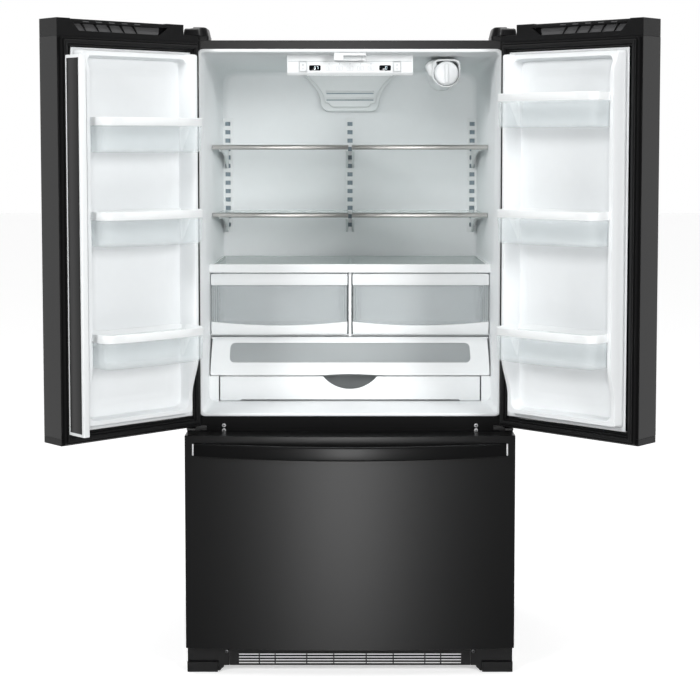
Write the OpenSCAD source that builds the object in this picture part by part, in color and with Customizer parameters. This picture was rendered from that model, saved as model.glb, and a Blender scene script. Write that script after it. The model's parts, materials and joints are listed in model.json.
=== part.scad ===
// French door refrigerator with a bottom freezer drawer.
// X runs to the right, Y to the back, Z up. The modules draw in the cabinet's own frame, whose
// Y = 0 is the cabinet's front plane; placed() moves them so that the origin is the middle of
// the footprint, at floor level. Doors are drawn closed and swung open about their hinge pins.

/* [Cabinet] */
// Width of the cabinet
cab_w = 905; // [880:1:920]
// Depth of the cabinet without its doors
cab_d = 720; // [700:1:760]
// Height of the cabinet's top
cab_top = 1743; // [1730:1:1760]
// Width of the front frame's side flanges
flange_w = 38; // [34:1:42]
// Thickness of the steel sheet, as modelled
sheet = 2; // [1.5:0.5:2.5]

/* [Compartments] */
// Lower edge of the rail between the compartments
rail_low = 650; // [645:1:655]
// Upper edge of that rail, where the fresh food opening starts
rail_high = 711; // [705:1:715]
// Upper edge of the fresh food opening
opening_top = 1715; // [1710:1:1718]
// Depth of the fresh food compartment
cavity_d = 580; // [560:1:600]
// Thickness of the liners
liner_t = 3; // [2.5:0.5:3.5]

/* [Doors] */
// Angle at which the doors stand open
door_open = 137; // [90:1:137]
// Bottom of the fresh food doors
door_low = 687; // [684:1:690]
// Top of the fresh food doors
door_high = 1779; // [1770:1:1785]
// How far the front bows out between the cabinet's sides
bow = 24; // [10:1:30]
// Radius of the hinge pins
pin_r = 6; // [5:0.5:7]
// Depth of the door bins
bin_d = 126; // [110:1:128]

/* [Freezer drawer] */
// Bottom of the drawer front
drawer_low = 73; // [70:1:76]
// Top of the drawer front
drawer_high = 665; // [660:1:666]

/* [Shelves] */
// Heights of the two rows of shelves
shelf_levels = [1457, 1260];
// Top of the crisper cover
crisper_top = 1116; // [1110:1:1125]
// Width of each crisper front
crisper_w = 393; // [380:1:394]

/* [Hidden] */
$fn = 64;

// Cabinet front plane: the footprint's middle is the origin when the doors stand open
front_y = -154;
half_w = cab_w / 2;
// A cut runs this far past the solid it cuts
past = 1;

// Fresh food cavity: it narrows towards the back, and its floor and ceiling slope
cavity_x = half_w - flange_w - liner_t;
cavity_x_back = 398;
cavity_floor = rail_high + liner_t;
cavity_floor_back = 736;
cavity_ceiling = opening_top - liner_t;
cavity_ceiling_back = 1688;
function cavity_half(y) = cavity_x + (cavity_x_back - cavity_x) * y / cavity_d;

// Freezer cavity: a step at the back leaves room for the machine compartment
freezer_x = half_w - flange_w - liner_t - 4;
freezer_floor = 98;
freezer_ceiling = 646;
freezer_step_y = 440;
freezer_step_z = 345;
freezer_d = 566;

// Doors and drawer front
door_gap = 5;
door_back = -15;
edge_front = -72;
bow_r = (half_w * half_w + bow * bow) / (2 * bow);
hinge_x = -half_w + 15;
hinge_y = -40;
cap_top_h = 46;
cap_low_h = 18;
louvre_deep = 14;
skin_t = 2;
handle_w = 36;
handle_t = 14;
handle_x = -62;
handle_rise = 52;
gasket_w = 22;
bin_h = 90;
bin_wall = 3;
left_bin_levels = [1438, 1198, 886];
right_bin_levels = [1502, 1198, 886];
bore_clear = 0.05;

// Folding mullion bar
mullion_w = 68;
mullion_t = 20;
mullion_pivot = [-24, 11];
mullion_low = 718;
mullion_high = 1684;

// Running gear
roller_r = 18;
roller_x = 380;
front_axle_y = 90;
rear_axle_y = 640;
axle_r = 4;
pan_z = 46;

// Columns of slots that carry the shelf arms
track_x = 378;

// Crispers and pantry
crisper_y = 184;
crisper_low = 914;
crisper_high = 1088;
pantry_y = 150;
pantry_low = 726;
pantry_high = 796;
lid_low = 799;
lid_high = 908;
// Pin along the visor's upper edge, its Y and Z, and half the visor's width
lid_pin = [195, 902];
lid_half = 400;

// Rocker keys in the control panel
key_x = 130;
key_z = 1673;

module placed() {
    translate([0, front_y, 0]) children();
}

// Swings what is drawn on the closed left door to where the door stands open
module left_door() {
    translate([hinge_x, front_y + hinge_y, 0])
        rotate([0, 0, -door_open])
            translate([-hinge_x, -hinge_y, 0])
                children();
}

module right_door() {
    mirror([1, 0, 0]) left_door() children();
}

module both_sides() {
    children();
    mirror([1, 0, 0]) children();
}

// A box given by its low and high corners
module span_box(low, high) {
    translate(low) cube(high - low);
}

// A straight-sided ring: an outer box less a hole through it along Y
module ring_y(low, high, wall) {
    difference() {
        span_box(low, high);
        span_box(low + [wall, -past, wall], high + [-wall, past, -wall]);
    }
}

// An open tray: outer box, wall thickness and floor
module tray(low, high, wall) {
    difference() {
        span_box(low, high);
        span_box(low + [wall, wall, wall], high + [-wall, -wall, past]);
    }
}

// What lies behind the bowed front that runs across the doors and the drawer
module behind_bow(inset = 0) {
    translate([0, edge_front - bow + bow_r, -past])
        cylinder(r = bow_r - inset, h = 2000, $fn = 720);
}

// The fresh food cavity's space, grown outwards by t
module cavity_space(t) {
    intersection() {
        translate([0, 0, 600])
            linear_extrude(1200)
                polygon([
                    [-cavity_x - t, -t], [cavity_x + t, -t],
                    [cavity_x_back + t, cavity_d + t], [-cavity_x_back - t, cavity_d + t]
                ]);
        rotate([90, 0, 90])
            translate([0, 0, -500])
                linear_extrude(1000)
                    polygon([
                        [-t, cavity_floor - t], [cavity_d + t, cavity_floor_back - t],
                        [cavity_d + t, cavity_ceiling_back + t], [-t, cavity_ceiling + t]
                    ]);
    }
}

// The freezer cavity's space, grown outwards by t
module freezer_space(t) {
    rotate([90, 0, 90])
        translate([0, 0, -freezer_x - t])
            linear_extrude(2 * (freezer_x + t))
                polygon([
                    [-t, freezer_floor - t], [freezer_step_y + t, freezer_floor - t],
                    [freezer_step_y + t, freezer_step_z - t],
                    [freezer_d + t, freezer_step_z - t],
                    [freezer_d + t, freezer_ceiling + t], [-t, freezer_ceiling + t]
                ]);
}

// The front half of a box in front of the cabinet, for cutting flat at the front plane
module in_front() {
    span_box([-600, -200, 0], [600, 0, 2000]);
}

module cabinet_shell() {
    side = half_w - sheet;
    color("#1c1c1d") placed() {
        difference() {
            span_box([-half_w, 0, pan_z], [half_w, cab_d, cab_top]);
            span_box([-side, sheet, pan_z - past], [side, cab_d + past, cab_top - sheet]);
            span_box([-half_w + flange_w, -past, rail_high],
                [half_w - flange_w, sheet + past, opening_top]);
            span_box([-half_w + flange_w, -past, rail_low],
                [half_w - flange_w, sheet + past, rail_high]);
            span_box([-half_w + flange_w, -past, freezer_floor - liner_t],
                [half_w - flange_w, sheet + past, rail_low]);
        }
    }
}

module rear_panel() {
    color("#9a9d9f") placed()
        difference() {
            span_box([-half_w + sheet, cab_d - sheet, 332],
                [half_w - sheet, cab_d, cab_top - sheet]);
            for (z = [420 : 240 : 1620])
                span_box([-380, cab_d - 0.8, z], [380, cab_d + past, z + 12]);
        }
}

module machine_cover() {
    slot_pitch = 16;
    color("#8b8e90") placed() {
        difference() {
            span_box([-half_w + sheet, cab_d - sheet, pan_z + 4],
                [half_w - sheet, cab_d, 331]);
            for (x = [-330 : 165 : 330])
                for (i = [0 : 8])
                    span_box([x - 60, cab_d - 5, 110 + i * slot_pitch],
                        [x + 60, cab_d + past, 117 + i * slot_pitch]);
            translate([395, cab_d + past, 90])
                rotate([90, 0, 0]) cylinder(r = 9, h = 8);
        }
        // Grommet where a supply cord enters
        translate([395, cab_d + 6, 90])
            rotate([90, 0, 0])
                difference() {
                    cylinder(r = 9, h = 8);
                    translate([0, 0, -past]) cylinder(r = 4.5, h = 12);
                }
    }
}

module base_pan() {
    ear_gap = 12;
    color("#6f7275") placed() {
        span_box([-half_w + sheet, 20, pan_z - 6], [half_w - sheet, cab_d - 4, pan_z]);
        for (x = [-roller_x, roller_x], y = [front_axle_y, rear_axle_y])
            translate([x, y, 0]) {
                for (s = [-1, 1])
                    span_box([s * ear_gap - 1.5, -12, roller_r - 8],
                        [s * ear_gap + 1.5, 12, pan_z - 6]);
                translate([-ear_gap, 0, roller_r])
                    rotate([0, 90, 0]) cylinder(r = axle_r, h = 2 * ear_gap);
            }
    }
}

module levelling_feet() {
    color("#55585a") placed()
        for (x = [-roller_x, roller_x])
            translate([x, 45, 0]) {
                cylinder(r = 17, h = 10);
                translate([0, 0, 10]) cylinder(r = 6, h = pan_z - 16);
                translate([0, 0, 22]) cylinder(r = 11, h = 8, $fn = 6);
            }
}

// Two coaxial rollers that turn on the axle pins at y
module roller_pair(y) {
    color("#2b2b2c") placed()
        for (x = [-roller_x, roller_x])
            translate([x, y, roller_r])
                rotate([0, 90, 0])
                    difference() {
                        translate([0, 0, -9]) cylinder(r = roller_r, h = 18);
                        translate([0, 0, -10]) cylinder(r = axle_r + bore_clear, h = 20);
                        for (s = [-1, 1])
                            translate([0, 0, s * 9 - 2])
                                difference() {
                                    cylinder(r = 17, h = 4);
                                    translate([0, 0, -past]) cylinder(r = 9, h = 6);
                                }
                    }
}

module front_rollers() { roller_pair(front_axle_y); }
module rear_rollers() { roller_pair(rear_axle_y); }

module insulation() {
    clear = 0.5;
    color("#d9c98f") placed()
        difference() {
            span_box([-half_w + sheet + clear, sheet + clear, freezer_floor - 30],
                [half_w - sheet - clear, cab_d - sheet - clear, cab_top - sheet - clear]);
            cavity_space(liner_t + clear);
            translate([0, -past - liner_t, 0]) cavity_space(liner_t + clear);
            freezer_space(liner_t + clear);
            translate([0, -past - liner_t, 0]) freezer_space(liner_t + clear);
            span_box([-half_w, 0, rail_low - 4], [half_w, 62, rail_high + 2]);
            span_box([-half_w, freezer_step_y + 12, 0],
                [half_w, cab_d, freezer_step_z - 12]);
        }
}

module fridge_liner() {
    color("#f4f5f6") placed()
        difference() {
            cavity_space(liner_t);
            cavity_space(0);
            in_front();
            // Slot columns on both side walls, where shelf arms are steadied
            both_sides()
                for (i = [0 : 12])
                    span_box([cavity_x - 30, 232, 1200 + i * 30],
                        [cavity_x - 4, 246, 1214 + i * 30]);
        }
}

module freezer_liner() {
    color("#eceef0") placed()
        difference() {
            freezer_space(liner_t);
            freezer_space(0);
            in_front();
        }
}

module front_rail() {
    color("#161617") placed() {
        span_box([-half_w + flange_w, 0, rail_low], [half_w - flange_w, 2, rail_high]);
        span_box([-half_w + sheet, 2, rail_low], [half_w - sheet, 60, rail_high - 0.5]);
    }
}

// Cabinet front opening at the bottom, closed by a slotted grille
module base_grille() {
    rows = 4;
    bars = [-310, -252, -208, -120, -45, 45, 120, 208, 252, 310];
    color("#121213") placed()
        difference() {
            union() {
                span_box([-334, -44, 16], [334, -38, 64]);
                span_box([-334, -38, 58], [334, -0.5, 64]);
            }
            for (r = [0 : rows - 1])
                for (i = [0 : len(bars) - 2])
                    span_box([bars[i] + 1.5, -50, 20 + r * 8], [bars[i + 1] - 1.5, -30, 24.5 + r * 8]);
        }
}

// Corner cover: a plate level with the grille, a stepped foot and a hollow shoulder between
module foot_covers() {
    color("#19191a") placed()
        both_sides()
            difference() {
                union() {
                    span_box([-half_w + 2, -46, 16], [-334.5, -0.5, 68]);
                    span_box([-half_w + 2, -58, 1], [-366, -0.5, 30]);
                    span_box([-367, -46, 1], [-350, -40, 17]);
                }
                translate([-334.5, -60, -14])
                    rotate([-90, 0, 0]) cylinder(r = 30, h = 80);
                span_box([-half_w + 5, -55, 0], [-369, 18, 27]);
                span_box([-half_w + 5, -43, 0], [-369, 18, 65]);
                span_box([-370, -43, 19], [-337.5, 18, 65]);
            }
}

module compressor() {
    color("#1e1f21") placed()
        translate([-250, 582, pan_z]) {
            translate([0, 0, 22])
                rotate_extrude()
                    polygon([
                        [0, 0], [80, 0], [88, 10], [88, 118], [84, 134],
                        [70, 152], [48, 164], [24, 170], [0, 171]
                    ]);
            for (a = [45 : 90 : 315])
                rotate([0, 0, a]) translate([70, 0, 0]) cylinder(r = 14, h = 26);
            span_box([80, -30, 60], [112, 30, 120]);
        }
}

// Wire-and-tube condenser as a stack of finned rows
module condenser() {
    color("#17181a") placed() {
        for (i = [0 : 13])
            span_box([70 + i * 14, 480, 72], [71.5 + i * 14, 680, 232]);
        for (z = [90 : 40 : 210], y = [510, 580, 650])
            translate([60, y, z])
                rotate([0, 90, 0]) cylinder(r = 5, h = 210);
        // Fan motor on its post, with the shaft that carries the rotor
        translate([0, 582, 160])
            rotate([0, 90, 0]) cylinder(r = 3, h = 28);
        translate([27, 582, 160])
            rotate([0, 90, 0]) cylinder(r = 22, h = 26);
        span_box([34, 574, pan_z], [44, 590, 142]);
    }
}

// Rotor with five paddle blades on a hub, its axis along Z
module fan_rotor(r, h) {
    difference() {
        union() {
            cylinder(r = r * 0.3, h = h);
            for (a = [0 : 72 : 288])
                rotate([0, 0, a])
                    translate([r * 0.2, 0, h / 2])
                        rotate([28, 0, 0])
                            translate([0, -r * 0.24, -1])
                                cube([r * 0.78, r * 0.48, 2]);
        }
        translate([0, 0, -past]) cylinder(r = 3 + bore_clear, h = h + 2);
    }
}

module condenser_fan() {
    color("#3b3e41") placed()
        translate([0, 582, 160])
            rotate([0, 90, 0]) fan_rotor(76, 24);
}

module drain_pan() {
    color("#2c2d2f") placed()
        tray([60, 474, 270], [300, 700, 304], 3);
}

module evaporator() {
    color("#b8bcc0") placed() {
        for (i = [-24 : 24])
            span_box([i * 12 - 0.8, 526, 356], [i * 12 + 0.8, 560, 496]);
        for (z = [376 : 34 : 478])
            translate([-300, 543, z])
                rotate([0, 90, 0]) cylinder(r = 4.5, h = 600);
    }
}

module evaporator_cover() {
    color("#e6e8ea") placed() {
        difference() {
            span_box([-freezer_x + 1, 486, freezer_step_z + 1],
                [freezer_x - 1, 490, freezer_ceiling - 1]);
            translate([0, 480, 572])
                rotate([-90, 0, 0]) cylinder(r = 56, h = 20);
            for (x = [-330 : 60 : -90], z = [560, 590])
                for (s = [-1, 1])
                    span_box([s * (x + 20) - 22, 480, z], [s * (x + 20) + 22, 500, z + 8]);
        }
        // Motor carried on the back of the fan opening, and the shaft of its rotor
        for (a = [0 : 90 : 270])
            translate([0, 508, 572])
                rotate([0, a, 0]) span_box([15, 2, -3], [60, 6, 3]);
        for (s = [-1, 1])
            span_box([s * 57 - 3, 490, 569], [s * 57 + 3, 514, 575]);
        translate([0, 494, 572])
            rotate([-90, 0, 0]) cylinder(r = 3, h = 16);
        translate([0, 510, 572])
            rotate([-90, 0, 0]) cylinder(r = 24, h = 30);
    }
}

module evaporator_fan() {
    color("#55585c") placed()
        translate([0, 508, 572])
            rotate([90, 0, 0]) fan_rotor(50, 14);
}

// Upper hinge arm on the cabinet's top, with its pin pointing down into the door
module upper_bracket() {
    span_box([-half_w + 4, 12, cab_top], [-396, 78, cab_top + 5]);
    span_box([-half_w + 4, 12, cab_top], [-424, 20, cab_top + 16]);
    span_box([-half_w + 4, hinge_y - 11, cab_top + 11], [-426, 20, cab_top + 16]);
    translate([hinge_x, hinge_y, cab_top - 14]) cylinder(r = pin_r, h = 27);
}

// Lower hinge arm on the rail, with its pin pointing up
module lower_bracket() {
    span_box([-half_w + 2, -4, 668], [-398, 0, 681]);
    span_box([-half_w + 4, hinge_y - 12, 676], [-426, -2, 681]);
    translate([hinge_x, hinge_y, 681]) cylinder(r = pin_r, h = 18);
}

module hinge_brackets() {
    color("#2a2b2d") placed()
        both_sides() {
            upper_bracket();
            lower_bracket();
        }
}

module hinge_covers() {
    dome_top = cab_top + 38;
    color("#4a4b4c") placed()
        both_sides()
            difference() {
                union() {
                    span_box([-half_w + 1, -2, cab_top + 0.2], [-386, 92, dome_top]);
                    span_box([-half_w + 1, hinge_y - 14, cab_top + 10.5], [-406, -2, dome_top]);
                }
                span_box([-half_w + 3.5, 0.5, cab_top - past], [-389, 89, dome_top - 3]);
                span_box([-half_w + 3.5, hinge_y - 11.5, cab_top], [-408.5, 3, dome_top - 3]);
            }
}

module control_panel() {
    color("#f2f3f4") placed()
        difference() {
            rotate([90, 0, 90])
                translate([0, 0, -174])
                    linear_extrude(348)
                        polygon([[52, 1650], [190, 1672], [190, 1701], [46, 1707], [46, 1657]]);
            for (x = [-key_x, key_x])
                span_box([x - 10, 45, key_z - 14], [x + 10, 52, key_z + 14]);
            // Recesses for the two displays
            for (x = [-97, 97])
                span_box([x - 15, 45, 1663], [x + 15, 47.5, 1677]);
        }
}

// A rocker key in the panel's front, turning on the pin across its middle
module temp_key(x) {
    color("#dfe2e4") placed()
        translate([x, 48.5, key_z]) {
            difference() {
                span_box([-8.9, -3.2, -11.5], [8.9, 1.8, 11.5]);
                span_box([-6, -4, -0.6], [6, -2.6, 0.6]);
            }
            rotate([0, 90, 0]) cylinder(r = 1.5, h = 19.6, center = true);
        }
}

module temp_key_left() { temp_key(-key_x); }
module temp_key_right() { temp_key(key_x); }

// Ceiling block whose groove guides the nose of the folding bar
module mullion_guide() {
    color("#f0f1f2") placed()
        difference() {
            span_box([-44, 4, 1689], [44, 42, 1710]);
            span_box([-18, 0, 1685], [34, 30, 1702]);
            translate([34, 12, 1685]) cylinder(r = 14, h = 17);
        }
}

// Duct cover that brings cold air down the back wall
module air_tower() {
    back = cavity_d - 1;
    color("#eff1f2") placed()
        difference() {
            translate([0, back, 0])
                rotate([90, 0, 0])
                    linear_extrude(42)
                        polygon([
                            [-150, 1680], [-132, 1640], [-112, 1600], [-88, 1572], [-60, 1560],
                            [60, 1560], [88, 1572], [112, 1600], [132, 1640], [150, 1680]
                        ]);
            for (z = [1590, 1612])
                span_box([-70, back - 46, z], [70, back - 36, z + 5]);
        }
}

module filter_housing() {
    color("#f3f4f5") placed()
        difference() {
            union() {
                translate([268, 66, 1656])
                    rotate([-90, 0, 0]) cylinder(r = 40, h = 300);
                span_box([228, 66, 1656], [308, 366, 1694]);
            }
            translate([268, 60, 1656])
                rotate([-90, 0, 0]) cylinder(r = 34, h = 290);
        }
}

module filter_cartridge() {
    color("#e3e6e8") placed()
        translate([268, 58, 1656])
            rotate([-90, 0, 0]) {
                cylinder(r = 33.5, h = 270);
                translate([0, 0, -6])
                    intersection() {
                        cylinder(r = 30, h = 8);
                        span_box([-5, -32, 0], [5, 32, 8]);
                    }
            }
}

module ladder_tracks() {
    low = 1190;
    high = 1540;
    pitch = 26;
    color("#dfe3e6") placed()
        for (x = [-track_x, 0, track_x])
            difference() {
                span_box([x - 15, cavity_d - 9, low], [x + 15, cavity_d - 1, high]);
                for (z = [low + 14 : pitch : high - 20])
                    span_box([x - 8, cavity_d - 12, z], [x + 8, cavity_d - 4, z + 13]);
            }
}

// The left shelf's outline in plan, inset by t from its trim
module shelf_plan(t) {
    polygon([
        [-397 + t, 254], [-6 - t, 254], [-6 - t, 556], [-cavity_half(556) + 6 + t, 556]
    ]);
}

module shelf_brackets() {
    color("#eef0f1") placed()
        both_sides()
            for (z = shelf_levels)
                for (x = [-track_x, -9])
                    translate([x - 3, 0, z - 8])
                        rotate([90, 0, 90])
                            linear_extrude(6)
                                polygon([
                                    [264, -10], [264, 0], [570, 0], [570, -62], [540, -62],
                                    [440, -40], [340, -22]
                                ]);
}

module shelf_glass() {
    color("#cfe3e6", 0.4) placed()
        both_sides()
            for (z = shelf_levels)
                translate([0, 0, z - 7.5])
                    linear_extrude(4) shelf_plan(0);
}

module shelf_trims() {
    color("#b9b6b2") placed()
        both_sides()
            for (z = shelf_levels)
                difference() {
                    span_box([-399, 246, z - 13], [-5, 262, z + 1]);
                    span_box([-401, 253.5, z - 8], [-4, 264, z - 3]);
                }
}

// One moulded frame: the cover over the crispers, the post between them and the end caps
module crisper_frame() {
    front = cavity_half(182) - 3;
    back = cavity_half(560) - 3;
    color("#f3f4f5") placed() {
        difference() {
            translate([0, 0, crisper_top - 24])
                linear_extrude(24)
                    polygon([[-front, 178], [front, 178], [back, 560], [-back, 560]]);
            translate([0, 0, crisper_top - 30])
                linear_extrude(40)
                    polygon([
                        [-front + 20, 200], [front - 20, 200],
                        [back - 14, 540], [-back + 14, 540]
                    ]);
            translate([0, 0, crisper_top - 4])
                linear_extrude(10)
                    polygon([
                        [-front + 12, 192], [front - 12, 192],
                        [back - 8, 548], [-back + 8, 548]
                    ]);
        }
        span_box([-4, 190, crisper_low - 7], [4, 552, crisper_top - 8]);
        // Shelf between the crispers and the pantry drawer
        translate([0, 0, crisper_low - 5])
            linear_extrude(4)
                polygon([
                    [-cavity_half(196) + 3, 196], [cavity_half(196) - 3, 196],
                    [back, 560], [-back, 560]
                ]);
        both_sides()
            span_box([-cavity_half(196) + 2, 152, 724], [-376, 196, lid_low - 2]);
    }
}

module crisper_glass() {
    front = cavity_half(182) - 16;
    back = cavity_half(560) - 12;
    color("#cfe3e6", 0.4) placed()
        translate([0, 0, crisper_top - 4])
            linear_extrude(3.5)
                polygon([[-front, 193], [front, 193], [back, 547], [-back, 547]]);
}

// Clear bin of the left crisper, behind its front frame
module crisper_bin() {
    color("#dfeaec", 0.4) placed()
        tray([-386, crisper_y + 9.5, crisper_low + 2], [-13, 538, crisper_high - 14], 3);
}

// White frame with a window across the left crisper's front
module crisper_front() {
    outer = -7 - crisper_w;
    color("#f5f6f7") placed()
        difference() {
            span_box([outer, crisper_y, crisper_low], [-7, crisper_y + 9.5, crisper_high]);
            difference() {
                span_box([outer + 9, crisper_y - past, crisper_low + 34],
                    [-16, crisper_y + 7, crisper_high - 32]);
                // The lower band's top edge sags like a shallow smile
                translate([outer / 2 - 3.5, crisper_y, crisper_low + 34 + 2600])
                    rotate([90, 0, 0])
                        difference() {
                            translate([0, 0, -10]) cylinder(r = 2700, h = 20, $fn = 360);
                            translate([0, 0, -11]) cylinder(r = 2594, h = 22, $fn = 360);
                        }
            }
            span_box([outer + 16, crisper_y, crisper_low + 44],
                [-24, crisper_y + 12, crisper_high - 40]);
        }
}

module crisper_bin_left() { crisper_bin(); }
module crisper_front_left() { crisper_front(); }
module crisper_bin_right() { mirror([1, 0, 0]) crisper_bin(); }
module crisper_front_right() { mirror([1, 0, 0]) crisper_front(); }

module pantry_drawer() {
    color("#f4f5f6") placed()
        difference() {
            union() {
                tray([-364, pantry_y + 4, pantry_low + 14], [364, 540, pantry_high - 8], 3);
                span_box([-372, pantry_y, pantry_low], [372, pantry_y + 6, pantry_high]);
            }
            // Finger notch in the middle of the front's upper edge
            translate([0, pantry_y - 10, pantry_high + 64])
                rotate([-90, 0, 0]) cylinder(r = 100, h = 40);
        }
}

// Visor that hangs in front of the drawer's space from its upper edge
module pantry_lid() {
    r_out = 150;
    color("#f5f6f7") placed() {
        translate([-lid_half, lid_pin[0], lid_pin[1]])
            rotate([0, 90, 0]) cylinder(r = 3, h = 2 * lid_half);
        difference() {
            translate([-lid_half, 0, 0])
                rotate([90, 0, 90])
                    linear_extrude(2 * lid_half)
                        difference() {
                            translate([pantry_y + 2 + r_out, lid_low]) circle(r = r_out, $fn = 180);
                            translate([pantry_y + 2 + r_out, lid_low]) circle(r = r_out - 4, $fn = 180);
                            translate([0, lid_low - 400]) square([600, 400]);
                            translate([0, lid_high - 4]) square([600, 400]);
                            translate([200, lid_low - 10]) square([400, 300]);
                        }
            span_box([-347, 100, lid_low + 36], [347, 400, lid_high - 16]);
        }
    }
}

// Outline of the left door in plan, between the cabinet's side and the centre gap
module door_block(z0, z1, t) {
    intersection() {
        span_box([-half_w + t, -200, z0], [-door_gap / 2 - t, door_back, z1]);
        behind_bow(t);
    }
}

module door_skin() {
    low = door_low + cap_low_h;
    high = door_high - cap_top_h;
    color("#1b1b1c")
        difference() {
            door_block(low, high, 0);
            difference() {
                door_block(low - past, high + past, skin_t);
                span_box([-500, door_back - 2, 0], [0, 0, 2000]);
            }
            span_box([-half_w + 30, door_back - 5, low + 12], [-32, 0, high - 25]);
        }
}

module door_caps() {
    high = door_high - cap_top_h;
    pin_bore = pin_r + bore_clear;
    color("#151516")
        difference() {
            union() {
                door_block(door_low, door_low + cap_low_h - 0.2, 0.2);
                door_block(high + 0.2, door_high, 0.2);
            }
            translate([hinge_x, hinge_y, door_low - past]) cylinder(r = pin_bore, h = 16);
            // Low corner under the hinge arm, and the pin's hole in it
            span_box([-500, -200, cab_top + 9], [-half_w + 50.5, 0, door_high + past]);
            translate([hinge_x, hinge_y, high - past]) cylinder(r = pin_bore, h = 30);
            // Louvred recess along the back of the top cap, under a slightly lower top
            translate([0, door_back + past, 0])
                rotate([90, 0, 0])
                    linear_extrude(louvre_deep + past)
                        polygon([
                            [-323, door_high - 31], [-70, door_high - 31],
                            [-51, door_high - 11], [-350, door_high - 11]
                        ]);
            span_box([-344, door_back - louvre_deep - 2, door_high - 4],
                [-43, door_back + past, door_high + past]);
        }
}

// Liner with raised dikes on both sides and across the top and bottom
module door_liner() {
    color("#f3f4f5")
        union() {
            span_box([-half_w + 31, door_back - 2, 720], [-33, door_back + 3, 1706]);
            difference() {
                span_box([-403, door_back + 3, 730], [-47, 40, 1702]);
                span_box([-389, door_back + 2, 744], [-61, 50, 1688]);
                // Above and below the side dikes the ring stands lower
                span_box([-395, 22, 720], [-55, 50, 1714]);
            }
            // The dike beside the hinge stands tallest
            span_box([-403, door_back + 3, 880], [-392, 50, 1702]);
        }
}

module door_gasket() {
    color("#1f1f20")
        ring_y([-half_w + 7, door_back + 0.2, 690], [-10, -1.5, 1731], gasket_w);
}

// A flat bar bent to a long bow, standing off the door by rise at its middle
module bow_bar(len, rise, width, thick) {
    r = (len * len / 4 + rise * rise) / (2 * rise);
    intersection() {
        translate([-len / 2 + 14, -rise - past, -width / 2])
            cube([len - 28, rise + past, width]);
        translate([0, r - rise, -width / 2 - past])
            difference() {
                cylinder(r = r, h = width + 2, $fn = 720);
                translate([0, 0, -past]) cylinder(r = r - thick, h = width + 4, $fn = 720);
            }
    }
}

module door_handle() {
    len = 960;
    mid_z = (door_low + door_high) / 2;
    base_y = edge_front - bow + 1.2;
    color("#232324")
        difference() {
            union() {
                translate([handle_x, base_y, mid_z])
                    rotate([0, 90, 0]) bow_bar(len, handle_rise, handle_w, handle_t);
                for (s = [-1, 1])
                    translate([handle_x - handle_w / 2, base_y - 16, mid_z + s * (len / 2 - 30) - 25])
                        cube([handle_w, 18, 50]);
            }
            behind_bow();
        }
}

// One bin, open at the top, with a bowed front; z is its floor
module door_bin(z) {
    x0 = -387;
    x1 = -63;
    deep = -11 + bin_d;
    r = 700;
    module outline(t) {
        intersection() {
            translate([x0 + t, -11 + t]) square([x1 - x0 - 2 * t, bin_d - 2 * t]);
            translate([(x0 + x1) / 2, deep - r]) circle(r = r - t, $fn = 360);
        }
    }
    translate([0, 0, z])
        difference() {
            linear_extrude(bin_h) outline(0);
            translate([0, 0, bin_wall]) linear_extrude(bin_h) outline(bin_wall);
        }
}

module left_door_skin() { left_door() door_skin(); }
module left_door_caps() { left_door() door_caps(); }
module left_door_liner() { left_door() door_liner(); }
module left_door_gasket() { left_door() door_gasket(); }
module left_door_handle() { left_door() door_handle(); }
module left_door_bins() {
    color("#e4eef0", 0.5) left_door() for (z = left_bin_levels) door_bin(z);
}
module right_door_skin() { right_door() door_skin(); }
module right_door_caps() { right_door() door_caps(); }
module right_door_liner() { right_door() door_liner(); }
module right_door_gasket() { right_door() door_gasket(); }
module right_door_handle() { right_door() door_handle(); }
module right_door_bins() {
    color("#e4eef0", 0.5) right_door() for (z = right_bin_levels) door_bin(z);
}

// Bar on the left door that closes the gap behind both doors and folds back as it opens
module mullion_bar() {
    fold = 90 * door_open / 137;
    color("#e9ebec") left_door()
        translate([mullion_pivot[0], mullion_pivot[1], 0])
            rotate([0, 0, fold]) {
                translate([0, 0, mullion_low])
                    cylinder(r = mullion_t / 2, h = mullion_high - mullion_low);
                span_box([0, -mullion_t / 2, mullion_low],
                    [mullion_w - mullion_t / 2, mullion_t / 2, mullion_high]);
            }
}

module drawer_block(low, high, t) {
    intersection() {
        span_box([-half_w + t, -200, low], [half_w - t, door_back, high]);
        behind_bow(t);
    }
}

module drawer_skin() {
    color("#1b1b1c") placed()
        difference() {
            drawer_block(drawer_low, drawer_high, 0);
            difference() {
                drawer_block(drawer_low + skin_t, drawer_high - skin_t, skin_t);
                span_box([-500, door_back - 2, 0], [500, 0, 2000]);
            }
            span_box([-half_w + 30, door_back - 5, drawer_low + 23],
                [half_w - 30, 0, drawer_high - 18]);
        }
}

module drawer_liner() {
    color("#eef0f1") placed() {
        span_box([-half_w + 31, door_back - 2, drawer_low + 24],
            [half_w - 31, door_back + 3, drawer_high - 19]);
        ring_y([-400, door_back + 3, 106], [400, 8, 638], 16);
        // Arms that carry the basket and run in the cabinet's rails
        both_sides()
            span_box([-399, 8, 300], [-391, 420, 330]);
    }
}

module drawer_gasket() {
    color("#1f1f20") placed()
        difference() {
            span_box([-half_w + 7, door_back + 0.2, drawer_low + 3],
                [half_w - 7, -1, drawer_high - 1]);
            span_box([-half_w + 29, -20, drawer_low + 22], [half_w - 29, 5, drawer_high - 17]);
        }
}

module drawer_handle() {
    len = 882;
    mid_z = 626;
    color("#232324") placed()
        difference() {
            union() {
                translate([0, edge_front - 2, mid_z])
                    bow_bar(len, 74, handle_w + 2, handle_t);
                both_sides()
                    translate([-len / 2 + 16, edge_front - 6, mid_z - handle_w / 2 - 1])
                        cube([26, 6, handle_w + 2]);
            }
            behind_bow();
        }
}

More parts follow.
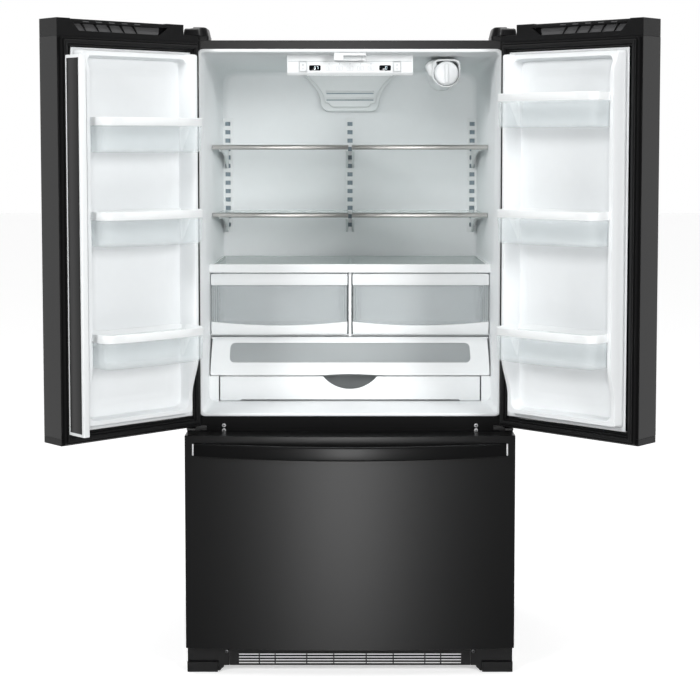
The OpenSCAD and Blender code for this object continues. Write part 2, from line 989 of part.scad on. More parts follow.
// Slatted tray: solid floor and rim, walls cut into vertical bars
module slatted_tray(low, high, wall, pitch) {
    rim = 14;
    difference() {
        tray(low, high, wall);
        for (x = [low[0] + 24 : pitch : high[0] - 24])
            span_box([x, low[1] - past, low[2] + rim], [x + pitch * 0.5, high[1] + past, high[2] - rim]);
        for (y = [low[1] + 24 : pitch : high[1] - 24])
            span_box([low[0] - past, y, low[2] + rim], [high[0] + past, y + pitch * 0.5, high[2] - rim]);
    }
}

module drawer_basket() {
    color("#f0f2f3") placed() {
        slatted_tray([-384, 12, 112], [384, 424, 326], 4, 44);
        both_sides()
            span_box([-390.5, 12, 318], [-384, 420, 326]);
    }
}

module upper_basket() {
    color("#f0f2f3") placed() {
        slatted_tray([-384, 24, 400], [384, 476, 560], 4, 44);
        both_sides()
            span_box([-402, 24, 552], [-384, 470, 560]);
    }
}

cabinet_shell();
rear_panel();
machine_cover();
base_pan();
levelling_feet();
front_rollers();
rear_rollers();
insulation();
fridge_liner();
freezer_liner();
front_rail();
base_grille();
foot_covers();
compressor();
condenser();
condenser_fan();
drain_pan();
evaporator();
evaporator_cover();
evaporator_fan();
hinge_brackets();
hinge_covers();
control_panel();
temp_key_left();
temp_key_right();
mullion_guide();
air_tower();
filter_housing();
filter_cartridge();
ladder_tracks();
shelf_brackets();
shelf_glass();
shelf_trims();
crisper_frame();
crisper_glass();
crisper_bin_left();
crisper_front_left();
crisper_bin_right();
crisper_front_right();
pantry_drawer();
pantry_lid();
left_door_skin();
left_door_caps();
left_door_liner();
left_door_gasket();
left_door_handle();
left_door_bins();
mullion_bar();
right_door_skin();
right_door_caps();
right_door_liner();
right_door_gasket();
right_door_handle();
right_door_bins();
drawer_skin();
drawer_liner();
drawer_gasket();
drawer_handle();
drawer_basket();
upper_basket();
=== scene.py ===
"""Looks of the french door refrigerator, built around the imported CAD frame."""

import json
import math

import bmesh
import bpy
from mathutils import Matrix, Vector

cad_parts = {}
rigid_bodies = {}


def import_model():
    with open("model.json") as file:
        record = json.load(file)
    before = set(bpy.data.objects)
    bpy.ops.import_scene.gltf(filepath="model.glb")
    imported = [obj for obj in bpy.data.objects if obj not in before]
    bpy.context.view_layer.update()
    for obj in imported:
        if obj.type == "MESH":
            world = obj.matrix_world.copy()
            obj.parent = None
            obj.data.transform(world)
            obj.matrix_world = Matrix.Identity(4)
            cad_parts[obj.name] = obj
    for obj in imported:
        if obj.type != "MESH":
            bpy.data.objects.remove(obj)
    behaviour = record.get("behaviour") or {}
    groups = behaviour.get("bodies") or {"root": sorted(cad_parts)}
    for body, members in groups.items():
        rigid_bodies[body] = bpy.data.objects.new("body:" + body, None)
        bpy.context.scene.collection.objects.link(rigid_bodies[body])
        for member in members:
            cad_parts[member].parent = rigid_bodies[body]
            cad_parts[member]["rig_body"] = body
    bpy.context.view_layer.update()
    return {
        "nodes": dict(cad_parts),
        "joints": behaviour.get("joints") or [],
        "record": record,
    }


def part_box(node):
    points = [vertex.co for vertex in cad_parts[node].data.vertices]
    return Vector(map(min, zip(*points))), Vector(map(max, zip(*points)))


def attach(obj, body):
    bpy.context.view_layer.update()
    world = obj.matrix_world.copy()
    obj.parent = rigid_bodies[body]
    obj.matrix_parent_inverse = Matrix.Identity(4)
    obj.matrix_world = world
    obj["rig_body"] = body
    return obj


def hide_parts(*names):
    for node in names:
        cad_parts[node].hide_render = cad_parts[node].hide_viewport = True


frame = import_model()
NODES = frame["nodes"]
SLOT_OF = {part["node"]: part["material_slot"] for part in frame["record"]["subparts"]}
JOINTS = {joint["name"]: joint for joint in frame["joints"]}
MM = 0.001


# ---------------------------------------------------------------- places

def low(node):
    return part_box(node)[0]


def high(node):
    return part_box(node)[1]


def door_turn(side):
    """Matrix that swings a piece drawn on the closed door (side -1 left, +1 right) to rest."""
    joint = JOINTS["left_door_hinge" if side < 0 else "right_door_hinge"]
    hinge = Vector(joint["pos_m"])
    angle = math.radians(joint["range_deg"][0]) * (1 if side < 0 else -1)
    return Matrix.Translation(hinge) @ Matrix.Rotation(angle, 4, "Z") @ Matrix.Translation(-hinge)


def bar_turn():
    """Matrix that folds a piece drawn on the closed left door's straight bar to the folded bar."""
    joint = JOINTS["folding_bar_hinge"]
    pivot = door_turn(-1).inverted() @ Vector(joint["pos_m"])
    angle = -math.radians(joint["range_deg"][0])
    return Matrix.Translation(pivot) @ Matrix.Rotation(angle, 4, "Z") @ Matrix.Translation(-pivot)


def on_door(side):
    """Matrix from the closed left door's frame to where that door, or its mirror, stands."""
    if side < 0:
        return door_turn(side)
    return door_turn(side) @ Matrix.Scale(-1, 4, Vector((1, 0, 0)))


def corners(points):
    """Low and high corners of some points."""
    return (Vector([min(p[i] for p in points) for i in range(3)]),
            Vector([max(p[i] for p in points) for i in range(3)]))


def box_in(node, matrix):
    """Corners of a node's box in the frame that the matrix leads to."""
    return corners([matrix @ v.co for v in NODES[node].data.vertices])


def closed_box(node, side):
    """Corners of a door node in the closed position, mirrored to the left door's side."""
    return box_in(node, on_door(side).inverted())


def solids(node, side=0):
    """Boxes of a node's separate solids, lowest first; for a door's node, as on the closed left door."""
    back = on_door(side).inverted() if side else Matrix.Identity(4)
    work = bmesh.new()
    work.from_mesh(NODES[node].data)
    work.transform(back)
    bmesh.ops.remove_doubles(work, verts=work.verts, dist=0.02 * MM)
    seen = set()
    boxes = []
    for start in work.verts:
        if start in seen:
            continue
        seen.add(start)
        group = [start]
        for vertex in group:
            for edge in vertex.link_edges:
                other = edge.other_vert(vertex)
                if other not in seen:
                    seen.add(other)
                    group.append(other)
        boxes.append(corners([v.co.copy() for v in group]))
    work.free()
    return sorted(boxes, key=lambda box: (round(box[0].z, 3), box[0].x))


# ---------------------------------------------------------------- materials

MATERIALS = {}


def plain(name, colour, rough, **values):
    """A Principled material whose constants sit on the shader's own sockets."""
    material = bpy.data.materials.new(name)
    material.use_nodes = True
    shader = material.node_tree.nodes["Principled BSDF"]
    shader.inputs["Base Color"].default_value = (*colour, 1)
    shader.inputs["Roughness"].default_value = rough
    for socket, value in values.items():
        shader.inputs[socket.replace("_", " ")].default_value = value
    MATERIALS[name] = material
    return material


def grain(material, scale, tint=0.05, rough=0.06, bump=0.02, stretch=(1, 1, 1), detail=4):
    """Noise in the object's own space that varies colour and roughness and raises the surface."""
    tree = material.node_tree
    shader = tree.nodes["Principled BSDF"]
    colour = shader.inputs["Base Color"].default_value[:3]
    base_rough = shader.inputs["Roughness"].default_value
    place = tree.nodes.new("ShaderNodeTexCoord")
    mapping = tree.nodes.new("ShaderNodeMapping")
    mapping.inputs["Scale"].default_value = stretch
    noise = tree.nodes.new("ShaderNodeTexNoise")
    noise.inputs["Scale"].default_value = scale
    noise.inputs["Detail"].default_value = detail
    tree.links.new(place.outputs["Object"], mapping.inputs["Vector"])
    tree.links.new(mapping.outputs["Vector"], noise.inputs["Vector"])
    ramp = tree.nodes.new("ShaderNodeValToRGB")
    ramp.color_ramp.elements[0].position = 0.3
    ramp.color_ramp.elements[1].position = 0.7
    ramp.color_ramp.elements[0].color = (*[c * (1 - tint) for c in colour], 1)
    ramp.color_ramp.elements[1].color = (*[min(1, c * (1 + tint)) for c in colour], 1)
    tree.links.new(noise.outputs["Fac"], ramp.inputs["Fac"])
    tree.links.new(ramp.outputs["Color"], shader.inputs["Base Color"])
    spread = tree.nodes.new("ShaderNodeMapRange")
    spread.inputs["To Min"].default_value = max(0.02, base_rough - rough)
    spread.inputs["To Max"].default_value = min(1, base_rough + rough)
    tree.links.new(noise.outputs["Fac"], spread.inputs["Value"])
    tree.links.new(spread.outputs["Result"], shader.inputs["Roughness"])
    if bump:
        raised = tree.nodes.new("ShaderNodeBump")
        raised.inputs["Strength"].default_value = bump
        raised.inputs["Distance"].default_value = MM
        tree.links.new(noise.outputs["Fac"], raised.inputs["Height"])
        tree.links.new(raised.outputs["Normal"], shader.inputs["Normal"])
    return material


def glowing(name, colour, rough, light, strength):
    """A plain material that also gives off some light of its own."""
    return plain(name, colour, rough, Emission_Color=(*light, 1), Emission_Strength=strength)


def make_materials():
    grain(plain("black_steel", (0.005, 0.005, 0.0052), 0.3, Specular_IOR_Level=0.4),
          420, 0.1, 0.03, 0.03)
    grain(plain("rail_paint", (0.005, 0.005, 0.0052), 0.6, Specular_IOR_Level=0.12),
          500, 0.1, 0.05, 0.1)
    grain(plain("black_plastic", (0.0055, 0.0055, 0.0058), 0.42, Specular_IOR_Level=0.3),
          900, 0.15, 0.08, 0.3)
    grain(plain("grey_plastic", (0.009, 0.009, 0.0094), 0.4, Specular_IOR_Level=0.3),
          800, 0.12, 0.08, 0.3)
    grain(plain("white_liner", (0.81, 0.83, 0.84), 0.36, Specular_IOR_Level=0.25),
          35, 0.006, 0.04, 0.02)
    grain(plain("white_trim", (0.8, 0.82, 0.825), 0.34, Specular_IOR_Level=0.22),
          60, 0.006, 0.04, 0.02)
    grain(plain("clear_plastic", (0.86, 0.92, 0.935), 0.16, Alpha=0.2, Specular_IOR_Level=0.2),
          40, 0.01, 0.03, 0)
    grain(plain("shelf_glass", (0.7, 0.84, 0.81), 0.06, Alpha=0.3), 12, 0.01, 0.02, 0)
    grain(plain("brushed_trim", (0.56, 0.55, 0.53), 0.34, Metallic=1.0),
          160, 0.18, 0.1, 0.25, stretch=(0.03, 6, 6))
    grain(plain("zinc_steel", (0.42, 0.43, 0.44), 0.38, Metallic=1.0), 240, 0.2, 0.12, 0.2)
    grain(plain("galvanised", (0.44, 0.45, 0.46), 0.48, Metallic=0.85), 60, 0.22, 0.14, 0.1, detail=1)
    grain(plain("aluminium_fin", (0.72, 0.73, 0.75), 0.35, Metallic=1.0), 300, 0.1, 0.1, 0.15)
    grain(plain("foam", (0.75, 0.62, 0.35), 0.85), 200, 0.12, 0.05, 0.6)
    grain(plain("gasket_rubber", (0.006, 0.006, 0.0063), 0.45, Specular_IOR_Level=0.4),
          700, 0.15, 0.08, 0.25)
    grain(plain("roller_plastic", (0.05, 0.05, 0.052), 0.45), 500, 0.12, 0.08, 0.25)
    grain(plain("compressor_paint", (0.014, 0.014, 0.015), 0.22), 90, 0.15, 0.06, 0.15)
    grain(plain("display_glass", (0.004, 0.004, 0.005), 0.06, Coat_Weight=1.0), 60, 0.1, 0.02, 0)
    # Partly painted sheen: steel made lighter and less metallic than real steel, so it looks evenly
    # bright where real steel would mirror the dark floor.
    grain(plain("steel_painted_sheen", (0.85, 0.85, 0.86), 0.35, Metallic=0.5), 400, 0.08, 0.08, 0.1)
    # Partly painted light: the vents' grey, made lighter for the light the slanted slats catch from
    # above; also the colour of painted glints.
    grain(plain("vent_grey_painted_light", (0.075, 0.075, 0.077), 0.42), 900, 0.12, 0.08, 0.35)
    grain(plain("print_grey", (0.42, 0.44, 0.46), 0.5), 600, 0.05, 0.05, 0.0)
    # Painted shade for the cross recesses of the screw heads.
    grain(plain("painted_recess_shade", (0.01, 0.01, 0.011), 0.7), 300, 0.1, 0.05, 0.1)
    # Painted shade: bluish grey for the shade inside slots and under the air tower's hoods.
    grain(plain("painted_slot_shade", (0.26, 0.32, 0.36), 0.6), 300, 0.1, 0.05, 0.1)
    grain(plain("sign_grey", (0.3, 0.31, 0.33), 0.5), 600, 0.05, 0.05, 0)
    grain(plain("cartridge_white", (0.78, 0.8, 0.81), 0.3), 70, 0.012, 0.05, 0.04)
    grain(glowing("lens_white", (0.9, 0.93, 0.95), 0.5, (0.95, 0.98, 1), 0.8), 500, 0.02, 0.05, 0.1)
    grain(glowing("display_glow", (0.7, 0.85, 0.9), 0.4, (0.8, 0.95, 1), 1.2), 200, 0.03, 0.03, 0)
    grain(glowing("floor", (0.9, 0.9, 0.9), 0.8, (1, 1, 1), 0.42), 3, 0.01, 0.05, 0)


# ---------------------------------------------------------------- meshes

def add_piece(name, mesh, body, material, slot=None, stands_for=()):
    piece = bpy.data.objects.new(name, mesh)
    bpy.context.scene.collection.objects.link(piece)
    piece.data.materials.clear()
    piece.data.materials.append(MATERIALS[material])
    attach(piece, body)
    slot or material
    if stands_for:
        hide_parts(*stands_for)
    return piece


def shade(mesh, angle=35):
    for face in mesh.polygons:
        face.use_smooth = True
    mesh.set_sharp_from_angle(angle=math.radians(angle))


def soften(node, width, material=None):
    """Stands for a CAD node with a copy whose edges are rounded by width, in millimetres."""
    source = NODES[node]
    mesh = source.data.copy()
    solid = bmesh.new()
    solid.from_mesh(mesh)
    bmesh.ops.remove_doubles(solid, verts=solid.verts, dist=0.01 * MM)
    bmesh.ops.dissolve_limit(solid, angle_limit=math.radians(0.4), verts=solid.verts, edges=solid.edges)
    solid.to_mesh(mesh)
    solid.free()
    if "custom_normal" in mesh.attributes:
        mesh.attributes.remove(mesh.attributes["custom_normal"])
    shade(mesh)
    slot = SLOT_OF[node]
    piece = add_piece(f"{node}_finish", mesh, source["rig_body"], material or slot, slot, (node,))
    bevel = piece.modifiers.new("round_edges", "BEVEL")
    bevel.width = width * MM
    bevel.segments = 2
    bevel.limit_method = "ANGLE"
    bevel.angle_limit = math.radians(30)
    bevel.harden_normals = True
    return piece


def paint(node):
    """Gives a CAD node that stays as it is its finished material."""
    data = NODES[node].data
    data.materials.clear()
    data.materials.append(MATERIALS[SLOT_OF[node]])


# ---------------------------------------------------------------- shapes

def arc_points(centre, radius, start, end, steps):
    """Points on an arc, angles in degrees, both ends included."""
    angles = [math.radians(start + (end - start) * i / steps) for i in range(steps + 1)]
    return [(centre[0] + radius * math.cos(a), centre[1] + radius * math.sin(a)) for a in angles]


def rounded_rectangle(x0, y0, x1, y1, radius, steps=6):
    """Outline of a rectangle with round corners, anticlockwise from the lower right corner."""
    r = max(radius, 0.01 * MM)
    return (arc_points((x1 - r, y0 + r), r, -90, 0, steps)
            + arc_points((x1 - r, y1 - r), r, 0, 90, steps)
            + arc_points((x0 + r, y1 - r), r, 90, 180, steps)
            + arc_points((x0 + r, y0 + r), r, 180, 270, steps))


def new_mesh(name, points, faces, angle=40):
    """A mesh with outward normals and smooth shading below the given angle."""
    mesh = bpy.data.meshes.new(name)
    mesh.from_pydata(points, [], faces)
    solid = bmesh.new()
    solid.from_mesh(mesh)
    bmesh.ops.remove_doubles(solid, verts=solid.verts, dist=0.0002 * MM)
    bmesh.ops.recalc_face_normals(solid, faces=solid.faces)
    solid.to_mesh(mesh)
    solid.free()
    shade(mesh, angle)
    return mesh


def loft(loops, close_start=True, close_end=True, angle=40):
    """A mesh through loops of 3-D points that all have the same count."""
    count = len(loops[0])
    points = [p for loop in loops for p in loop]
    faces = []
    for k in range(len(loops) - 1):
        for i in range(count):
            j = (i + 1) % count
            faces.append((k * count + i, k * count + j, (k + 1) * count + j, (k + 1) * count + i))
    if close_start:
        faces.append(tuple(reversed(range(count))))
    if close_end:
        faces.append(tuple(range((len(loops) - 1) * count, len(loops) * count)))
    return new_mesh("loft", points, faces, angle)


def rounded_box(lo, hi, radius, segments=3):
    """A box with rounded edges between two corners."""
    solid = bmesh.new()
    bmesh.ops.create_cube(solid, size=1)
    for v in solid.verts:
        v.co = Vector([lo[i] + (v.co[i] + 0.5) * (hi[i] - lo[i]) for i in range(3)])
    bmesh.ops.bevel(solid, geom=solid.edges[:], offset=radius, segments=segments,
                    affect="EDGES", profile=0.5, clamp_overlap=True)
    mesh = bpy.data.meshes.new("rounded_box")
    solid.to_mesh(mesh)
    solid.free()
    shade(mesh, 50)
    return mesh


def slab(outline, start, end, axis="Y", bevel=0, segments=2):
    """Extrudes an outline from start to end: (x, z) points along Y, (x, y) along Z, (y, z) along X."""
    place = {"X": lambda p, t: (t, p[0], p[1]), "Y": lambda p, t: (p[0], t, p[1]),
             "Z": lambda p, t: (p[0], p[1], t)}[axis]
    mesh = loft([[place(p, t) for p in outline] for t in (start, end)])
    if bevel:
        solid = bmesh.new()
        solid.from_mesh(mesh)
        sharp = [e for e in solid.edges if e.calc_face_angle(0) > math.radians(40)]
        bmesh.ops.bevel(solid, geom=sharp, offset=bevel, segments=segments,
                        affect="EDGES", profile=0.5, clamp_overlap=True)
        solid.to_mesh(mesh)
        solid.free()
        shade(mesh, 50)
    return mesh


def join(meshes):
    """One mesh from several."""
    solid = bmesh.new()
    for mesh in meshes:
        solid.from_mesh(mesh)
        bpy.data.meshes.remove(mesh)
    joined = bpy.data.meshes.new("joined")
    solid.to_mesh(joined)
    solid.free()
    shade(joined, 45)
    return joined


def cut(mesh, cutter):
    """The first mesh less the second."""
    target = bpy.data.objects.new("target", mesh)
    tool = bpy.data.objects.new("tool", cutter)
    for holder in (target, tool):
        bpy.context.scene.collection.objects.link(holder)
    boolean = target.modifiers.new("cut", "BOOLEAN")
    boolean.object = tool
    evaluated = target.evaluated_get(bpy.context.evaluated_depsgraph_get())
    result = bpy.data.meshes.new_from_object(evaluated)
    for holder in (target, tool):
        bpy.data.objects.remove(holder)
    result.materials.clear()
    shade(result, 40)
    return result


def turned(profile, centre, axis="Z", steps=32):
    """A solid of revolution through centre from (radius, height) points along the axis."""
    loops = []
    for radius, height in profile:
        r = max(radius, 0.001 * MM)
        loop = []
        for i in range(steps):
            a = 2 * math.pi * i / steps
            u, v = r * math.cos(a), r * math.sin(a)
            offset = {"X": (height, u, v), "Y": (v, height, u), "Z": (u, v, height)}[axis]
            loop.append(Vector(centre) + Vector(offset))
        loops.append(loop)
    return loft(loops)


# ---------------------------------------------------------------- doors

def smooth_step(t):
    t = max(0.0, min(1.0, t))
    return t * t * (3 - 2 * t)


def dense_lines(start, end, walls, pitch):
    """Grid lines from start to end at about pitch, with close lines across each wall."""
    count = round((end - start) / pitch)
    lines = {round(start + (end - start) * i / count, 5) for i in range(count + 1)}
    for wall in walls:
        lines |= {round(wall + k * 1.6 * MM, 5) for k in range(-3, 7)}
    return sorted(v for v in lines if start <= v <= end)


def inside_distance(x, z, box, radius):
    """How far a point is inside a rounded rectangle (x0, z0, x1, z1)."""
    x0, z0, x1, z1 = box
    dx = abs(x - (x0 + x1) / 2) - (x1 - x0) / 2 + radius
    dz = abs(z - (z0 + z1) / 2) - (z1 - z0) / 2 + radius
    return radius - math.hypot(max(dx, 0), max(dz, 0)) - min(max(dx, dz), 0)


def grow(box, by):
    """A rectangle (x0, z0, x1, z1) grown by the given amount on each side."""
    return box[0] - by, box[1] - by, box[2] + by, box[3] + by


def door_liner(side):
    """Vacuum-formed liner: a flange, raised dikes and the deep panel between them."""
    lo, hi = closed_box("left_door_liner", -1)
    flange = lo.y + 5 * MM
    wall = 6 * MM
    outer = (lo.x + 18.5 * MM, lo.z + 10 * MM, hi.x - 14 * MM, hi.z - 4 * MM)
    inner = grow(outer, -17 * MM)
    panel = grow(inner, -36 * MM)
    hinge_rise = hi.y - flange
    side_rise = hinge_rise - 10 * MM
    end_rise = 0.62 * side_rise
    taper_low, taper_high = lo.z + 60 * MM, lo.z + 175 * MM
    xs = dense_lines(lo.x, hi.x, (outer[0], inner[0], inner[2] - 6 * MM, outer[2] - 6 * MM), 8 * MM)
    zs = dense_lines(lo.z, hi.z, (outer[1], inner[1], inner[3] - 6 * MM, outer[3] - 6 * MM), 8 * MM)
    points = []
    for z in zs:
        for x in xs:
            out = inside_distance(x, z, outer, 12 * MM)
            deep = inside_distance(x, z, inner, 22 * MM)
            at_hinge = smooth_step((inner[0] + 4 * MM - x) / (8 * MM))
            near_end = smooth_step((z - (outer[3] - 60 * MM)) / (50 * MM)) * (1 - at_hinge)
            foot = 1 - smooth_step((z - taper_low) / (taper_high - taper_low))
            tall = side_rise + (hinge_rise - side_rise) * at_hinge
            rise = tall + (end_rise - tall) * max(near_end, foot)
            y = flange + rise * smooth_step(out / wall)
            y += (flange + 2 * MM - y) * smooth_step(deep / wall)
            y -= 2.5 * MM * smooth_step(inside_distance(x, z, panel, 24 * MM) / (10 * MM))
            points.append((x, y, z))
    width = len(xs)
    faces = [(r * width + c, r * width + c + 1, (r + 1) * width + c + 1, (r + 1) * width + c)
             for r in range(len(zs) - 1) for c in range(width - 1)]
    mesh = bpy.data.meshes.new("door_liner")
    mesh.from_pydata(points, [], faces)
    mesh.flip_normals()
    shade(mesh, 60)
    piece = door_piece("door_liner_formed", mesh, side, "white_liner", stands_for=("door_liner",))
    sheet = piece.modifiers.new("sheet", "SOLIDIFY")
    sheet.thickness = 2 * MM
    sheet.offset = -1


def rounded_foot(loop, start, edge, floor):
    """Loops that round a tub's lower edge, from its floor up to its wall."""
    turns = [math.radians(90 * i / 4) for i in range(5)]
    return [loop(start + edge * (1 - math.sin(a)), floor + edge * (1 - math.cos(a)))
            for a in turns]


def bin_outline(lo, hi, inset, corner, bow):
    """Plan of a door bin: straight back, rounded front corners, front bowed out by bow."""
    x0, x1 = lo.x + inset, hi.x - inset
    y0, y1 = lo.y + inset, hi.y - inset
    r = max(corner - inset, 2 * MM)
    back = 4 * MM
    half = (x1 - x0) / 2
    middle = (x0 + x1) / 2
    steps = 14
    front = []
    for i in range(steps + 1):
        x = x1 - r - (x1 - x0 - 2 * r) * i / steps
        front.append((x, y1 - bow * ((x - middle) / half) ** 2))
    drop = front[0][1]
    points = arc_points((x1 - back, y0 + back), back, -90, 0, 3)
    points += arc_points((x1 - r, drop - r), r, 0, 80, 7)
    points += front[1:-1]
    points += arc_points((x0 + r, drop - r), r, 100, 180, 7)
    points += arc_points((x0 + back, y0 + back), back, 180, 270, 3)
    return points


def door_bin(side, number, lo, hi):
    """A clear tub with rounded lower edges and its white rim band, in the CAD bin's box."""
    corner, bow, thick = 30 * MM, 13 * MM, 2.6 * MM
    rim, edge, top = 21 * MM, 8 * MM, hi.z

    def loop(inset, z):
        return [(x, y, z) for x, y in bin_outline(lo, hi, inset, corner, bow)]
    outside = rounded_foot(loop, 5 * MM, edge, lo.z) + [loop(1.5 * MM, top - 2 * MM)]
    inside = [loop(1.5 * MM + thick, top - 2 * MM)]
    inside += rounded_foot(loop, 5 * MM + thick, edge, lo.z + thick)[::-1]
    tub = door_piece(f"bin_{number}_tub", loft(outside + inside), side, "clear_plastic")
    band = [(0.2, -rim), (0, 1 * MM - rim), (0, -1.5 * MM), (1.2, 0), (3.6, 0), (4.6, -1.5 * MM),
            (4.6, -rim), (0.2, -rim)]
    loops = [loop(inset * MM, top + rise) for inset, rise in band]
    door_piece(f"bin_{number}_rim", loft(loops, False, False), side, "white_trim")
    return tub


def door_bins(side):
    node = "left_door_bins" if side < 0 else "right_door_bins"
    tubs = [door_bin(side, number, lo, hi)
            for number, (lo, hi) in enumerate(solids(node, side), 1)]
    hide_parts(node)


def ring_sweep(box, profile, corner, steps=5):
    """Sweeps a closed profile of (inset, y) points round a rounded rectangle (x0, z0, x1, z1)."""
    x0, z0, x1, z1 = box
    loops = []
    for inset, y in profile + profile[:1]:
        outline = rounded_rectangle(x0 + inset, z0 + inset, x1 - inset, z1 - inset,
                                    max(corner - inset, 1 * MM), steps)
        loops.append([(x, y, z) for x, z in outline])
    return loft(loops, False, False)


def gasket_profile(low_y, high_y, width):
    """A bellows lip: flat foot, a fold on each side of the magnet tube and a groove between."""
    deep = high_y - low_y
    shape = [(0, 0), (0, 0.45), (0.06, 0.62), (0.16, 0.62), (0.2, 0.5), (0.26, 0.5), (0.3, 0.92),
             (0.36, 1), (0.68, 1), (0.74, 0.92), (0.78, 0.5), (0.84, 0.5), (0.88, 0.66),
             (0.96, 0.66), (1, 0.5), (1, 0)]
    return [(width * across, low_y + deep * up) for across, up in shape]


def door_gasket(side):
    lo, hi = closed_box("left_door_gasket", -1)
    mesh = ring_sweep((lo.x, lo.z, hi.x, hi.z), gasket_profile(lo.y, hi.y, 22 * MM), 6 * MM)
    door_piece("gasket_bellows", mesh, side, "gasket_rubber", stands_for=("door_gasket",))


def folding_bar():
    """The bar as a white plastic channel that frames a black steel plate."""
    turn = door_turn(-1) @ bar_turn()
    lo, hi = box_in("mullion_bar", turn.inverted())
    thick = hi.y - lo.y
    border = 8 * MM
    outline = rounded_rectangle(lo.x, lo.y + 0.8 * MM, hi.x, hi.y, thick * 0.18, 5)
    mesh = slab(outline, lo.z, hi.z, "Z", 1.5 * MM)
    mesh.transform(turn)
    add_piece("folding_bar_body", mesh, "folding_bar", "white_trim", stands_for=("mullion_bar",))
    plate = rounded_box((lo.x + border, lo.y, lo.z + border),
                        (hi.x - border, lo.y + 1.6 * MM, hi.z - border), 0.7 * MM)
    plate.transform(turn)
    add_piece("folding_bar_plate", plate, "folding_bar", "black_steel")


def door_piece(name, mesh, side, material, slot=None, stands_for=()):
    """Adds a mesh drawn on the closed left door to the door on that side."""
    mesh.transform(on_door(side))
    if side > 0:
        mesh.flip_normals()
    label = "left" if side < 0 else "right"
    nodes = [f"{label}_{part}" for part in stands_for]
    return add_piece(f"{label}_{name}", mesh, f"{label}_door", material, slot, nodes)


def cap_louvres(side):
    """Grey slats between slanted ribs in the recess along the back of the top cap, partly painted light:
    their grey is lighter than the cap's plastic to paint the light the slanted slats catch from above.
    """
    hi = solids("left_door_caps", -1)[-1][1]
    face, deep = hi.y, 13.5 * MM
    foot, head = hi.z - 30.5 * MM, hi.z - 11.5 * MM
    slant = 11 * MM
    ribs_at = [hi.x - (78 + 40 * i) * MM for i in range(5)]
    tops = [hi.x - 50 * MM] + ribs_at + [hi.x - 326 * MM]
    feet = [hi.x - 68 * MM] + [x - slant for x in ribs_at] + [hi.x - 318 * MM]
    panels, ribs, glints = [], [], []
    for i in range(6):
        outline = [(feet[i + 1], face - 4 * MM, foot), (tops[i + 1], face - 11 * MM, head),
                   (tops[i], face - 11 * MM, head), (feet[i], face - 4 * MM, foot)]
        panels.append(loft([[(x, face - deep, z) for x, _, z in outline], outline]))
        step = [((feet[k] + tops[k]) / 2 + w, face - 7 * MM, (foot + head) / 2 + up)
                for k, w in ((i + 1, 2 * MM), (i, -2 * MM)) for up in (0, 1.2 * MM)]
        step = [step[0], step[1], step[3], step[2]]
        panels.append(loft([step, [(x, face - 6.2 * MM, z) for x, _, z in step]]))
    for x in ribs_at:
        outline = [(x - slant + w, foot) for w in (-1.3 * MM, 1.3 * MM)]
        outline += [(x + w, head) for w in (1.3 * MM, -1.3 * MM)]
        ribs.append(slab(outline, face - deep, face - 1.5 * MM, bevel=0.5 * MM))
        # Painted highlights: thin light grey strips above the ribs stand in for glints.
        glints.append(slab([(x - 19 * MM, head + 3 * MM), (x - 1 * MM, head + 3 * MM),
                            (x, head + 5.8 * MM), (x - 18 * MM, head + 5.8 * MM)],
                           face - 1 * MM, face + 0.25 * MM, bevel=0.2 * MM, segments=1))
    door_piece("cap_louvre_slats", join(panels), side, "vent_grey_painted_light", "grey_plastic")
    door_piece("cap_louvre_ribs", join(ribs), side, "black_plastic")
    door_piece("cap_painted_glints", join(glints), side, "vent_grey_painted_light", "grey_plastic")


# ---------------------------------------------------------------- cabinet

FRONT = low("front_rail").y


def spot(x, y, z):
    """A point in metres from millimetres in the cabinet's frame, whose Y starts at its front."""
    return Vector((x * MM, FRONT + y * MM, z * MM))


def both(mesh):
    """The mesh and its mirror image across the middle, as one mesh."""
    other = mesh.copy()
    other.transform(Matrix.Scale(-1, 4, Vector((1, 0, 0))))
    other.flip_normals()
    return join([mesh, other])


def fridge_liner():
    """Fresh food liner: a rolled lip, a tapering tube with a moulded step and the back wall."""
    lo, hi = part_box("fridge_liner")
    wall = 3 * MM
    back_lo, back_hi = corners([v.co for v in NODES["fridge_liner"].data.vertices
                                if v.co.y > hi.y - 0.5 * MM])
    depth = hi.y - wall - lo.y

    def station(y, inset):
        t = (y - lo.y) / depth
        half = hi.x - wall + (back_hi.x - hi.x) * t - inset
        foot = lo.z + wall + (back_lo.z - lo.z) * t + inset
        head = hi.z - wall + (back_hi.z - hi.z) * t - inset
        corner = max((13 + 34 * t) * MM - inset * 0.5, 2 * MM)
        return [(x, y, z) for x, z in rounded_rectangle(-half, foot, half, head, corner, 8)]
    lip = [(0.6, -5.8), (-0.4, -5.6), (-0.9, -4.8), (-1, -3), (-0.9, -1.2), (-0.3, -0.2), (1.2, 0),
           (30, 0.4), (36, 3)]
    loops = [station(lo.y + y * MM, inset * MM) for y, inset in lip]
    fillet = 18 * MM
    loops += [station(lo.y + depth * t, 3 * MM) for t in (0.2, 0.4, 0.6, 0.8)]
    for i in range(6):
        a = math.radians(90 * i / 5)
        loops.append(station(lo.y + depth - fillet * (1 - math.sin(a)),
                             3 * MM + fillet * (1 - math.cos(a))))
    piece = add_piece("fridge_liner_formed", loft(loops, False, True, 50), "cabinet", "white_liner",
                      stands_for=("fridge_liner",))
    sheet = piece.modifiers.new("sheet", "SOLIDIFY")
    sheet.thickness = 2 * MM
    sheet.offset = 1


